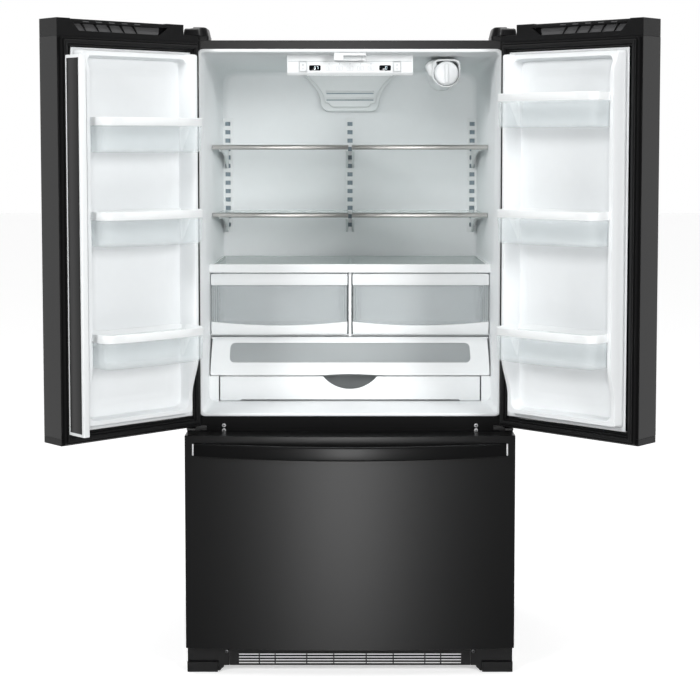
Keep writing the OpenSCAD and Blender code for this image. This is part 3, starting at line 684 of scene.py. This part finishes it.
def slot_painted_shades():
    """Painted shade: dark sheets behind the slots of the ladder tracks and dark patches in the side
    walls, coloured as the shade inside the slots.
    """
    floors = []
    for lo, hi in solids("ladder_tracks"):
        middle = (lo.x + hi.x) / 2
        floors.append(rounded_box((middle - 7.9 * MM, hi.y - 3.6 * MM, lo.z + 12 * MM),
                                  (middle + 7.9 * MM, hi.y - 3.1 * MM, hi.z - 12 * MM), 0.1 * MM, 1))
    add_piece("ladder_slot_painted_shade", join(floors), "cabinet", "painted_slot_shade", "grey_plastic")
    wall_slots = []
    for row in range(13):
        foot = 1200 + 30 * row
        wall_slots.append(rounded_box(spot(401.6, 230, foot), spot(404.6, 248, foot + 14), 1 * MM, 2))
    add_piece("side_wall_slot_painted_shade", both(join(wall_slots)), "cabinet", "painted_slot_shade", "grey_plastic")


def pan_head_screw(centre, radius):
    """A domed screw head facing the front, with its cross recess drawn as dark bars of painted shade."""
    dome = [(radius * math.cos(math.radians(a)), -0.4 * radius * math.sin(math.radians(a)))
            for a in range(0, 91, 15)]
    head = turned([(radius, 0.3 * MM)] + dome, centre, "Y", 24)
    arm, slit = radius * 0.55, radius * 0.14
    tip = centre.y - 0.41 * radius
    cross = [rounded_box((centre.x - u, tip - 0.15 * MM, centre.z - w),
                         (centre.x + u, tip + 0.6 * MM, centre.z + w), 0.1 * MM, 1)
             for u, w in ((arm, slit), (slit, arm))]
    return head, join(cross)


def screw_set(centres, radius):
    """Heads of several screws and the painted shade of their cross recesses, as two meshes."""
    heads, crosses = zip(*[pan_head_screw(centre, radius) for centre in centres])
    return join(heads), join(crosses)


def rail_screws():
    heads, crosses = screw_set([spot(x, 0, z) for x in (-350, 350) for z in (680.5, 667)], 5.5 * MM)
    # Painted sheen: the heads' light steel keeps them evenly bright.
    add_piece("rail_screw_heads", heads, "cabinet", "steel_painted_sheen", "zinc_steel")
    # Painted shade: the cross recesses as dark bars.
    add_piece("rail_screw_recess_shade", crosses, "cabinet", "painted_recess_shade", "black_plastic")


def rounded_polygon(points, radius, steps=5):
    """A polygon's outline with its corners rounded off."""
    outline = []
    count = len(points)
    for i in range(count):
        before, here, after = (Vector(points[k]) for k in (i - 1, i, (i + 1) % count))
        start = here + (before - here).normalized() * min(radius, (before - here).length * 0.45)
        end = here + (after - here).normalized() * min(radius, (after - here).length * 0.45)
        for k in range(steps + 1):
            t = k / steps
            outline.append(tuple(start * (1 - t) ** 2 + here * (2 * t * (1 - t)) + end * t ** 2))
    return outline


DOME_STEPS = ((1, 0), (0.99, 0.05), (0.93, 0.5), (0.89, 0.76), (0.84, 0.9), (0.76, 0.97),
              (0.64, 1), (0.35, 1.02), (0.02, 1.03))  # width left, and height as a share of the crown


def hinge_covers():
    """Domed covers over the top hinges: a skirt on the cabinet and a nose over the door's corner."""
    lo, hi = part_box("hinge_covers")
    x0, x1, x_nose = lo.x, lo.x + 65.5 * MM, lo.x + 45.5 * MM
    step_y = lo.y + 48 * MM
    plan = rounded_polygon([(x0, lo.y), (x_nose, lo.y), (x_nose, step_y), (x1, step_y + 4 * MM),
                            (x1, hi.y), (x0, hi.y)], 11 * MM)
    centre = ((x0 + x_nose) / 2, (lo.y + hi.y) / 2)
    rim = lo.z + 10.3 * MM
    loops = []
    for wide, up in DOME_STEPS:
        loop = []
        for x, y in plan:
            crown = hi.z - 1.2 * MM - 8 * MM * max(0.0, (step_y + 40 * MM - y) / (82 * MM)) ** 2
            long = 1 - (1 - wide) * 0.45
            loop.append((centre[0] + (x - centre[0]) * wide, centre[1] + (y - centre[1]) * long,
                         rim + (crown - rim) * up))
        loops.append(loop)
    skirt = slab(rounded_rectangle(x0, step_y + 4 * MM, x1, hi.y, 5 * MM, 4), lo.z, rim + 0.5 * MM, "Z")
    add_piece("hinge_cover_domes", both(join([loft(loops, angle=60), skirt])), "cabinet", "grey_plastic",
              stands_for=("hinge_covers",))


def grille_screws():
    heads, crosses = screw_set([spot(x, -46, 56) for x in (-342, 342)], 5 * MM)
    add_piece("foot_cover_screws", heads, "cabinet", "zinc_steel")
    # Painted shade: the cross recesses as dark bars.
    add_piece("foot_cover_screw_recess_shade", crosses, "cabinet", "painted_recess_shade", "black_plastic")


def rear_screws():
    """Hex washer-head screws round the rear panel and the machine compartment's cover."""
    heads = []
    panel, cover = high("rear_panel"), high("machine_cover")
    places = [(x, z, panel.y) for x in (-438, 0, 438) for z in (1725, 350)]
    places += [(x, z, panel.y) for x in (-438, 438) for z in (700, 1050, 1400)]
    places += [(x, z, cover.y) for x in (-436, 436) for z in (66, 190, 315)]
    for x, z, y in places:
        centre = (x * MM, y, z * MM)
        washer = turned([(6.5 * MM, -1 * MM), (6.5 * MM, 0.4 * MM), (5 * MM, 1 * MM), (0, 1 * MM)],
                        centre, "Y", 24)
        hexagon = turned([(4.2 * MM, 0.5 * MM), (4.2 * MM, 3.4 * MM), (3.6 * MM, 4 * MM), (0, 4 * MM)],
                         centre, "Y", 6)
        heads += [washer, hexagon]
    add_piece("rear_screw_heads", join(heads), "cabinet", "zinc_steel")


def drawer_handle():
    """Long bar that bows out from the drawer's face, with bright steel end caps whose light colour
    partly paints the highlight slivers at its ends.
    """
    lo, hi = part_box("drawer_handle")
    half = hi.x
    reach, rise, thick = 441 * MM, 74 * MM, 14.5 * MM
    radius = (reach ** 2 + rise ** 2) / (2 * rise)
    stations = 72
    loops = []
    for i in range(stations + 1):
        x = -half + 2 * half * i / stations
        front = lo.y + radius - math.sqrt(radius ** 2 - x ** 2)
        section = rounded_rectangle(front, lo.z, front + thick, hi.z, 4.5 * MM, 4)
        loops.append([(x, y, z) for y, z in section])
    add_piece("drawer_handle_bar", loft(loops), "freezer_drawer", SLOT_OF["drawer_handle"],
              stands_for=("drawer_handle",))
    end_front = lo.y + radius - math.sqrt(radius ** 2 - half ** 2)
    ends = []
    for side in (-1, 1):
        xs = sorted((side * (half + 0.2 * MM), side * (half + 5 * MM)))
        ends.append(rounded_box((xs[0], end_front - 0.5 * MM, lo.z + 3 * MM),
                                (xs[1], end_front + 10 * MM, hi.z - 2 * MM), 2 * MM, 3))
    # Partly painted highlight: light steel end caps for the bright slivers at the handle's ends.
    add_piece("drawer_handle_ends", join(ends), "freezer_drawer", "steel_painted_sheen", "zinc_steel")


# ---------------------------------------------------------------- fresh food compartment

def seven_segments(digit, centre_x, foot, height, face):
    """A seven-segment digit as thin bars standing just proud of the face."""
    wide, bar = height * 0.52, height * 0.11
    lit = {"0": "abcdef", "3": "abcdg", "7": "abc"}[digit]
    half = wide / 2
    places = {"a": (0, height, 1), "g": (0, height / 2, 1), "d": (0, 0, 1),
              "b": (half, height * 0.75, 0), "c": (half, height * 0.25, 0),
              "e": (-half, height * 0.25, 0), "f": (-half, height * 0.75, 0)}
    bars = []
    for name in lit:
        x, z, lying = places[name]
        u, w = (half - bar, bar / 2) if lying else (bar / 2, height / 4 - bar / 2)
        bars.append(rounded_box((centre_x + x - u, face - 0.25 * MM, foot + z - w),
                                (centre_x + x + u, face + 0.2 * MM, foot + z + w), 0.15 * MM, 1))
    return bars


def printed_ring(cx, cz, wide, tall, face, line=0.5 * MM, corner=3 * MM):
    """A thin printed outline on a face."""
    profile = [(0, face), (0, face - 0.2 * MM), (line, face - 0.2 * MM), (line, face)]
    return ring_sweep((cx - wide / 2, cz - tall / 2, cx + wide / 2, cz + tall / 2), profile, corner)


def control_panel_marks():
    """Two displays, the printed icons between them and the panel's parting line."""
    lo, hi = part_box("control_panel")
    face = lo.y
    middle = lo.z + 20 * MM
    digits, glasses = [], []
    for x, shown in ((-97 * MM, "37"), (97 * MM, "0")):
        outline = rounded_rectangle(x - 16 * MM, middle - 7.4 * MM,
                                    x + 16 * MM, middle + 7.4 * MM, 4 * MM)
        glasses.append(slab(outline, face - 0.5 * MM, face + 1.4 * MM, bevel=0.3 * MM))
        for place, digit in enumerate(shown):
            shift = (place - (len(shown) - 1) / 2) * 7.5 * MM + 3 * MM
            digits += seven_segments(digit, x + shift, middle - 4 * MM, 8 * MM, face - 0.5 * MM)
    add_piece("display_glasses", join(glasses), "cabinet", "display_glass", "black_plastic")
    add_piece("display_digits", join(digits), "cabinet", "display_glow", "grey_plastic")
    marks = []
    for x in (-58, -29, 0, 29, 58):
        marks.append(printed_ring(x * MM, middle - 1 * MM, 17 * MM, 13 * MM, face))
        marks.append(slab(arc_points((x * MM, middle + 11 * MM), 1.3 * MM, 0, 330, 11),
                          face - 0.2 * MM, face + 0.1 * MM))
        for row in range(3):
            marks.append(rounded_box(((x - 4) * MM, face - 0.2 * MM, middle + (row * 3 - 4.4) * MM),
                                     ((x + 4 - row) * MM, face, middle + (row * 3 - 3.8) * MM),
                                     0.1 * MM, 1))
    for x in (-130, 130):
        marks.append(printed_ring(x * MM, middle + 3 * MM, 25 * MM, 33 * MM, face, 0.4 * MM))
    add_piece("panel_marks", join(marks), "cabinet", "print_grey", "grey_plastic")
    line = rounded_box((lo.x + 3 * MM, face - 0.15 * MM, hi.z - 19.4 * MM),
                       (hi.x - 3 * MM, face + 0.4 * MM, hi.z - 18.4 * MM), 0.1 * MM, 1)
    add_piece("panel_parting_line", line, "cabinet", "print_grey", "grey_plastic")
    for label in ("left", "right"):
        key_lo, key_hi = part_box(f"temp_key_{label}")
        x = (key_lo.x + key_hi.x) / 2
        bars = [((3, 0.45), 0.72), ((0.45, 3), 0.72), ((3, 0.45), 0.25)]
        tall = key_hi.z - key_lo.z
        signs = [rounded_box((x - u * MM, key_lo.y - 0.15 * MM, key_lo.z + t * tall - w * MM),
                             (x + u * MM, key_lo.y + 0.3 * MM, key_lo.z + t * tall + w * MM),
                             0.1 * MM, 1) for (u, w), t in bars]
        add_piece(f"{label}_key_signs", join(signs), f"{label}_key", "sign_grey", "grey_plastic")


def light_lens():
    """Milky lens of the ceiling light on the sloping underside of the control panel."""
    lo = low("control_panel")
    rise = 22 / 138
    start, end = lo.y + 22 * MM, lo.y + 130 * MM
    foot = [(y, lo.z + rise * (y - lo.y - 6 * MM) - drop) for y, drop in
            ((start, 0), (start, 2.5 * MM), (end, 2.5 * MM), (end, 0))]
    mesh = slab(foot, -120 * MM, 120 * MM, "X", 1 * MM)
    add_piece("ceiling_light_lens", mesh, "cabinet", "lens_white", "white_trim")


def tower_outline(lo, hi, inset):
    """Outline of the air tower: wide at the ceiling, its sides curving in to a rounded foot."""
    tall = hi.z - lo.z
    wide = (hi.x - lo.x) / 2
    foot_half = wide * 0.6
    turn = 26 * MM
    side = []
    for i in range(15):
        t = i / 14
        z = hi.z - inset * 0.3 - (tall - turn - inset * 0.3) * t
        side.append((foot_half + (wide - foot_half) * (1 - t) ** 1.7 - inset, z))
    corner = (foot_half - inset - turn, lo.z + turn)
    side += arc_points(corner, turn - inset, -10, -90, 6)
    return side + [(-x, z) for x, z in reversed(side)]


def air_tower():
    """Duct cover in two steps with hooded slots that blow the cold air forward."""
    lo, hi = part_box("air_tower")
    base = slab(tower_outline(lo, hi, 0), lo.y + 14 * MM, hi.y, bevel=6 * MM, segments=4)
    face = slab(tower_outline(lo, hi, 13 * MM), lo.y, lo.y + 30 * MM, bevel=7 * MM, segments=4)
    hoods, shades = [], []
    for z in (lo.z + 36 * MM, lo.z + 56 * MM):
        half = 74 * MM
        hood = [(lo.y + 1 * MM, z + 8 * MM), (lo.y - 4 * MM, z + 2 * MM), (lo.y - 4 * MM, z),
                (lo.y + 2 * MM, z + 1 * MM)]
        hoods.append(slab(hood, -half, half, "X", 0.6 * MM))
        # Painted shade: a dark strip under each hood for the shade in its slot.
        shades.append(rounded_box((-half + 2 * MM, lo.y - 0.6 * MM, z - 3 * MM),
                                  (half - 2 * MM, lo.y + 1 * MM, z + 0.6 * MM), 0.4 * MM, 1))
    add_piece("air_tower_cover", join([base, face] + hoods), "cabinet", "white_trim",
              stands_for=("air_tower",))
    add_piece("air_tower_slot_painted_shade", join(shades), "cabinet", "painted_slot_shade", "grey_plastic")


def housing_loop(centre, y, wide, tall, floor_radius, count=48):
    """Section of the filter housing: round below its centre, square-shouldered above."""
    loop = []
    for i in range(count):
        a = 2 * math.pi * i / count
        c, s = math.cos(a), math.sin(a)
        if s > 0:
            r = ((abs(c) / wide) ** 5 + (abs(s) / tall) ** 5) ** -0.2
        else:
            r = ((abs(c) / wide) ** 2 + (abs(s) / floor_radius) ** 2) ** -0.5
        loop.append((centre.x + r * c, y, centre.z + r * s))
    return loop


def water_filter():
    """Ceiling housing with a rolled mouth, its release button and the turn-to-lock cartridge."""
    lo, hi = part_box("filter_housing")
    cart_lo, cart_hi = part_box("filter_cartridge")
    centre = Vector(((cart_lo.x + cart_hi.x) / 2, 0, (cart_lo.z + cart_hi.z) / 2))
    bore = (cart_hi.x - cart_lo.x) / 2 + 0.6 * MM
    wide, tall, deep = hi.x - centre.x, hi.z - centre.z, centre.z - lo.z
    stations = [(hi.y - 40 * MM, bore, bore, bore), (lo.y + 6 * MM, bore, bore, bore),
                (lo.y + 1 * MM, bore + 1.5 * MM, bore + 1 * MM, bore + 1.5 * MM),
                (lo.y, bore + 3 * MM, bore + 2 * MM, bore + 3 * MM),
                (lo.y + 1.5 * MM, wide - 1.2 * MM, tall - 0.8 * MM, deep - 1.2 * MM),
                (lo.y + 7 * MM, wide, tall, deep), (hi.y - 30 * MM, wide, tall, deep),
                (hi.y - 6 * MM, wide - 4 * MM, tall, deep - 4 * MM),
                (hi.y, wide - 14 * MM, tall, deep - 14 * MM)]
    housing = loft([housing_loop(centre, *station) for station in stations])
    add_piece("filter_housing_shell", housing, "cabinet", "white_trim", stands_for=("filter_housing",))
    lobe = rounded_box((-17 * MM, -50 * MM, -25 * MM), (17 * MM, 50 * MM, 22 * MM), 13 * MM, 5)
    lobe.transform(Matrix.Translation((lo.x + 3 * MM, lo.y + 58 * MM, centre.z + 14 * MM))
                   @ Matrix.Rotation(math.radians(-24), 4, "Y"))
    add_piece("filter_release_lobe", lobe, "cabinet", "white_trim")
    radius = (cart_hi.x - cart_lo.x) / 2
    front = cart_lo.y + 6 * MM
    profile = [(0, front)] + [(radius * f, front + d * MM) for f, d in
                              ((0.8, 0), (0.88, 0.8), (0.97, 4), (1, 9))] + [(radius, cart_hi.y)]
    body = turned([(r, y) for r, y in profile], (centre.x, 0, centre.z), "Y", 48)
    grip = rounded_box((centre.x - 5 * MM, cart_lo.y, centre.z - 27 * MM),
                       (centre.x + 5 * MM, front + 2 * MM, centre.z + 27 * MM), 2.6 * MM, 3)
    add_piece("filter_cartridge_finish", join([body, grip]), "filter", "cartridge_white", "white_trim",
              stands_for=("filter_cartridge",))


def shelf_brackets():
    """Cantilever arms whose lower edge sweeps down in a curve to the ladder track."""
    arms = []
    for lo, hi in solids("shelf_brackets"):
        deep, tall, nose = hi.y - lo.y, hi.z - lo.z, 10 * MM
        edge = [(lo.y + deep * t, hi.z - nose - (tall - nose) * t ** 2.4) for t in
                [i / 14 for i in range(13)]]
        outline = [(hi.y, hi.z), (lo.y, hi.z)] + edge + [(hi.y - 24 * MM, lo.z), (hi.y, lo.z)]
        arms.append(slab(outline, lo.x, hi.x, "X", 1.2 * MM))
    add_piece("shelf_bracket_arms", join(arms), "cabinet", "white_trim", stands_for=("shelf_brackets",))


def shelf_trims():
    """Rounded brushed metal nosings on the front edges of the glass shelves."""
    bars = []
    for lo, hi in solids("shelf_trims"):
        outline = rounded_rectangle(lo.y, lo.z, hi.y, hi.z, 4.5 * MM, 5)
        bars.append(slab(outline, lo.x, hi.x, "X", 0.8 * MM))
    add_piece("shelf_nosings", join(bars), "cabinet", "brushed_trim", stands_for=("shelf_trims",))


def tub(lo, hi, corner, edge, wall, floor_inset=0.0):
    """An open box with round corners and a rounded floor edge, tapering in by floor_inset."""
    def loop(inset, z):
        taper = floor_inset * (hi.z - z) / (hi.z - lo.z)
        outline = rounded_rectangle(lo.x + inset + taper, lo.y + inset + taper,
                                    hi.x - inset - taper, hi.y - inset - taper,
                                    max(corner - inset, 2 * MM))
        return [(x, y, z) for x, y in outline]
    outside = rounded_foot(loop, 0, edge, lo.z) + [loop(0, hi.z)]
    inside = [loop(wall, hi.z)] + rounded_foot(loop, wall, edge, lo.z + wall)[::-1]
    return loft(outside + inside)


def crisper(label):
    """A crisper drawer: clear tub and window, white upper band and a lower band with a sagging edge."""
    body = f"{label}_crisper"
    lo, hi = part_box(f"crisper_front_{label}")
    bin_lo, bin_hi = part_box(f"crisper_bin_{label}")
    middle, half = (lo.x + hi.x) / 2, (hi.x - lo.x) / 2
    head, sill, sag = hi.z - 33 * MM, lo.z + 36 * MM, 11 * MM
    upper = slab(rounded_rectangle(lo.x, head, hi.x, hi.z, 4 * MM, 4), lo.y, hi.y,
                 bevel=1.6 * MM, segments=3)
    dip = [(middle + half * u, sill - sag * (1 - u * u)) for u in [1 - i / 12 for i in range(25)]]
    lower = slab([(lo.x + 1.5 * MM, lo.z), (hi.x - 1.5 * MM, lo.z)] + dip, lo.y, hi.y,
                 bevel=1.6 * MM, segments=3)
    add_piece(f"{label}_crisper_bands", join([upper, lower]), body, "white_trim",
              stands_for=(f"crisper_front_{label}",))
    pane = rounded_box((lo.x + 1.5 * MM, lo.y + 3 * MM, sill - sag - 2 * MM),
                       (hi.x - 1.5 * MM, lo.y + 6 * MM, head + 2 * MM), 1 * MM, 2)
    ribs = []
    for step in range(4):
        for side in (-1, 1):
            x = middle + side * (half - (6 + 6 * step) * MM)
            ribs.append(rounded_box((x - 0.9 * MM, lo.y + 1.4 * MM, sill),
                                    (x + 0.9 * MM, hi.y, head + 1 * MM), 0.7 * MM, 2))
    add_piece(f"{label}_crisper_window", join([pane] + ribs), body, "clear_plastic")
    add_piece(f"{label}_crisper_tub", tub(bin_lo, bin_hi, 18 * MM, 10 * MM, 2.6 * MM, 4 * MM), body,
              "clear_plastic", stands_for=(f"crisper_bin_{label}",))


def pantry_drawer():
    """Full width drawer whose front is notched in a bowl shape for the fingers."""
    lo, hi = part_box("pantry_drawer")
    half = hi.x
    bowl, rise = 100 * MM, 64 * MM
    reach = math.degrees(math.acos(rise / bowl))
    notch = [(x, z) for x, z in arc_points((0, hi.z + rise), bowl, 270 + reach, 270 - reach, 40)]
    outline = [(-half, hi.z), (-half, lo.z), (-half + 56 * MM, lo.z), (-half + 60 * MM, lo.z + 3.5 * MM),
               (half - 60 * MM, lo.z + 3.5 * MM), (half - 56 * MM, lo.z), (half, lo.z), (half, hi.z)]
    front = slab(outline + notch, lo.y, lo.y + 6 * MM, bevel=1.5 * MM, segments=3)
    tray = tub(Vector((lo.x + 8 * MM, lo.y + 4 * MM, lo.z + 14 * MM)),
               Vector((hi.x - 8 * MM, hi.y, hi.z - 8 * MM)), 16 * MM, 8 * MM, 2.8 * MM)
    finger = slab(arc_points((0, hi.z + rise), bowl + 1 * MM, 0, 350, 71), lo.y - 5 * MM, lo.y + 30 * MM)
    add_piece("pantry_drawer_body", join([front, cut(tray, finger)]), "pantry", "white_trim",
              stands_for=("pantry_drawer",))


def even_outline(x0, z0, x1, z1, radius, side_steps, corner_steps=6):
    """A rounded rectangle whose straight sides are divided, so that it can be bent."""
    corner_points = rounded_rectangle(x0, z0, x1, z1, radius, corner_steps)
    run = corner_steps + 1
    outline = []
    for quarter in range(4):
        block = corner_points[quarter * run:(quarter + 1) * run]
        after = corner_points[((quarter + 1) * run) % len(corner_points)]
        outline += block
        for i in range(1, side_steps):
            t = i / side_steps
            outline.append((block[-1][0] * (1 - t) + after[0] * t,
                            block[-1][1] * (1 - t) + after[1] * t))
    return outline


def pantry_visor():
    """Curved lid, hinged along its top, with a long clear window and an arched lower edge."""
    lo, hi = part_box("pantry_lid")
    radius, thick = 150 * MM, 4 * MM
    foot, head = lo.z, hi.z - 2 * MM
    centre_y = lo.y + radius
    window = (-347 * MM, foot + 36 * MM, 347 * MM, hi.z - 16 * MM)

    def bend(outline, depth):
        bent = []
        for x, z in outline:
            up = (z - foot) / (head - foot)
            arch = 4 * MM * max(0.0, 1 - up / 0.2) * max(0.0, 1 - (x / (78 * MM)) ** 2)
            rise = z - foot + arch
            bent.append((x * (1 - 0.012 * up),
                         centre_y - math.sqrt((radius - depth) ** 2 - rise ** 2), foot + rise))
        return bent
    outer = even_outline(lo.x, foot, hi.x, head, 5 * MM, 24)
    inner = even_outline(*window, 14 * MM, 24)
    steps = 8
    between = [[(a[0] + (b[0] - a[0]) * k / steps, a[1] + (b[1] - a[1]) * k / steps)
                for a, b in zip(outer, inner)] for k in range(steps + 1)]
    edge = 0.7 * MM
    front = [bend(loop, 0) for loop in between]
    back = [bend(loop, thick) for loop in between]
    rim = [bend(between[0], thick / 2)]
    loops = rim + front + back[::-1] + rim
    pin = slab(arc_points((hi.y - 3.2 * MM, hi.z - 3.2 * MM), 3 * MM, 0, 345, 23),
               lo.x + edge, hi.x - edge, "X")
    add_piece("pantry_visor_frame", join([loft(loops, False, False), pin]), "pantry_visor", "white_trim",
              stands_for=("pantry_lid",))
    grown = even_outline(*grow(window, 4 * MM), 16 * MM, 24)
    middle = (0, (window[1] + window[3]) / 2)
    shrunk = [[(x * t, middle[1] + (z - middle[1]) * t) for x, z in grown]
              for t in (1, 0.75, 0.5, 0.25, 0.02)]
    pane = [bend(loop, 1.4 * MM) for loop in shrunk[::-1]] + [bend(loop, 3 * MM) for loop in shrunk]
    add_piece("pantry_visor_window", loft(pane), "pantry_visor", "clear_plastic")


# ---------------------------------------------------------------- stage

def make_stage():
    """A pale floor that takes shadows but isn't seen in gloss and lights nothing."""
    floor_mesh = bpy.data.meshes.new("floor")
    reach = 30
    edges = [(-reach, -reach, 0), (reach, -reach, 0), (reach, reach, 0), (-reach, reach, 0)]
    floor_mesh.from_pydata(edges, [], [(0, 1, 2, 3)])
    floor = bpy.data.objects.new("floor", floor_mesh)
    bpy.context.scene.collection.objects.link(floor)
    floor_mesh.materials.append(MATERIALS["floor"])
    floor.visible_glossy = False
    floor.visible_diffuse = False
    floor.visible_shadow = False


def area_light(name, place, aim, size, power, diffuse=True, glossy=False):
    light = bpy.data.lights.new(name, "AREA")
    light.shape = "RECTANGLE"
    light.size, light.size_y = size
    light.energy = power
    lamp = bpy.data.objects.new(name, light)
    bpy.context.scene.collection.objects.link(lamp)
    lamp.location = place
    lamp.visible_diffuse = diffuse
    lamp.visible_glossy = glossy
    lamp.rotation_euler = (Vector(aim) - Vector(place)).to_track_quat("-Z", "Y").to_euler()


def make_lights():
    """A bright sky behind, a dim room in front and soft boxes; the glow is seen only in gloss."""
    world = bpy.data.worlds.new("studio")
    bpy.context.scene.world = world
    world.use_nodes = True
    tree = world.node_tree
    direction = tree.nodes.new("ShaderNodeTexCoord")
    split = tree.nodes.new("ShaderNodeSeparateXYZ")
    tree.links.new(direction.outputs["Generated"], split.inputs["Vector"])
    ramp = tree.nodes.new("ShaderNodeMapRange")
    ramp.inputs["From Min"].default_value = -0.3
    ramp.inputs["From Max"].default_value = 0.15
    ramp.inputs["To Min"].default_value = 0.035
    ramp.inputs["To Max"].default_value = 1.0
    tree.links.new(split.outputs["Y"], ramp.inputs["Value"])
    background = tree.nodes["Background"]
    background.inputs["Color"].default_value = (1, 1, 1, 1)
    tree.links.new(ramp.outputs["Result"], background.inputs["Strength"])
    area_light("front_strip", (0, -8.5, 1.4), (0, 0, 1.0), (1.1, 4.0), 110)
    area_light("glow", (-0.1, -8.5, 0.1), (0, 0, 0.4), (1.2, 4.8), 170, False, True)
    area_light("key", (-3.6, -4.6, 3.4), (0, 0, 1.1), (1.6, 1.6), 200)
    area_light("fill", (3.6, -4.8, 2.6), (0, 0, 1.1), (1.6, 1.6), 205)
    area_light("top", (0, -1.2, 4.4), (0, 0, 0.8), (3.0, 1.6), 30)
    area_light("cavity", (0, FRONT + 0.12, 1.63), (0, FRONT + 0.4, 1.0), (0.3, 0.1), 0.6)
    area_light("bounce", (0, -2.4, 0.25), (0, 0, 1.7), (2.2, 0.8), 11)


def make_camera():
    """Level with the fresh food shelves, a little over four metres in front of the drawer."""
    distance = 4.44
    height = 1.46
    tilt = math.radians(3.87)
    camera = bpy.data.cameras.new("camera")
    camera.sensor_width = 36
    camera.lens = 84.34
    camera.shift_y = -0.1357
    holder = bpy.data.objects.new("camera", camera)
    bpy.context.scene.collection.objects.link(holder)
    edge_plane = low("drawer_skin").y + 24 * MM
    holder.location = (0, edge_plane - distance, height)
    holder.rotation_euler = (math.radians(90) - tilt, 0, 0)
    bpy.context.scene.camera = holder


make_camera()
make_materials()

LEFT, RIGHT = -1, 1
AS_DRAWN = ["insulation", "levelling_feet", "evaporator", "condenser"]
ROUNDING = {"left_door_skin": 4, "right_door_skin": 4, "drawer_skin": 7, "foot_covers": 2.2,
            "left_door_handle": 5, "right_door_handle": 5, "shelf_glass": 1}
FINISH = {"front_rail": "rail_paint"}
for door_side in (LEFT, RIGHT):
    door_liner(door_side)
    door_bins(door_side)
    door_gasket(door_side)
    cap_louvres(door_side)
folding_bar()
fridge_liner()
slot_painted_shades()
rail_screws()
hinge_covers()
drawer_handle()
grille_screws()
rear_screws()
control_panel_marks()
light_lens()
air_tower()
water_filter()
shelf_brackets()
shelf_trims()
for drawer_side in ("left", "right"):
    crisper(drawer_side)
pantry_drawer()
pantry_visor()
for node_name in AS_DRAWN:
    paint(node_name)
for node_name in NODES:
    if not NODES[node_name].hide_render and node_name not in AS_DRAWN:
        soften(node_name, ROUNDING.get(node_name, 1.2), FINISH.get(node_name))
make_lights()
make_stage()
bpy.context.scene.view_settings.view_transform = "Standard"
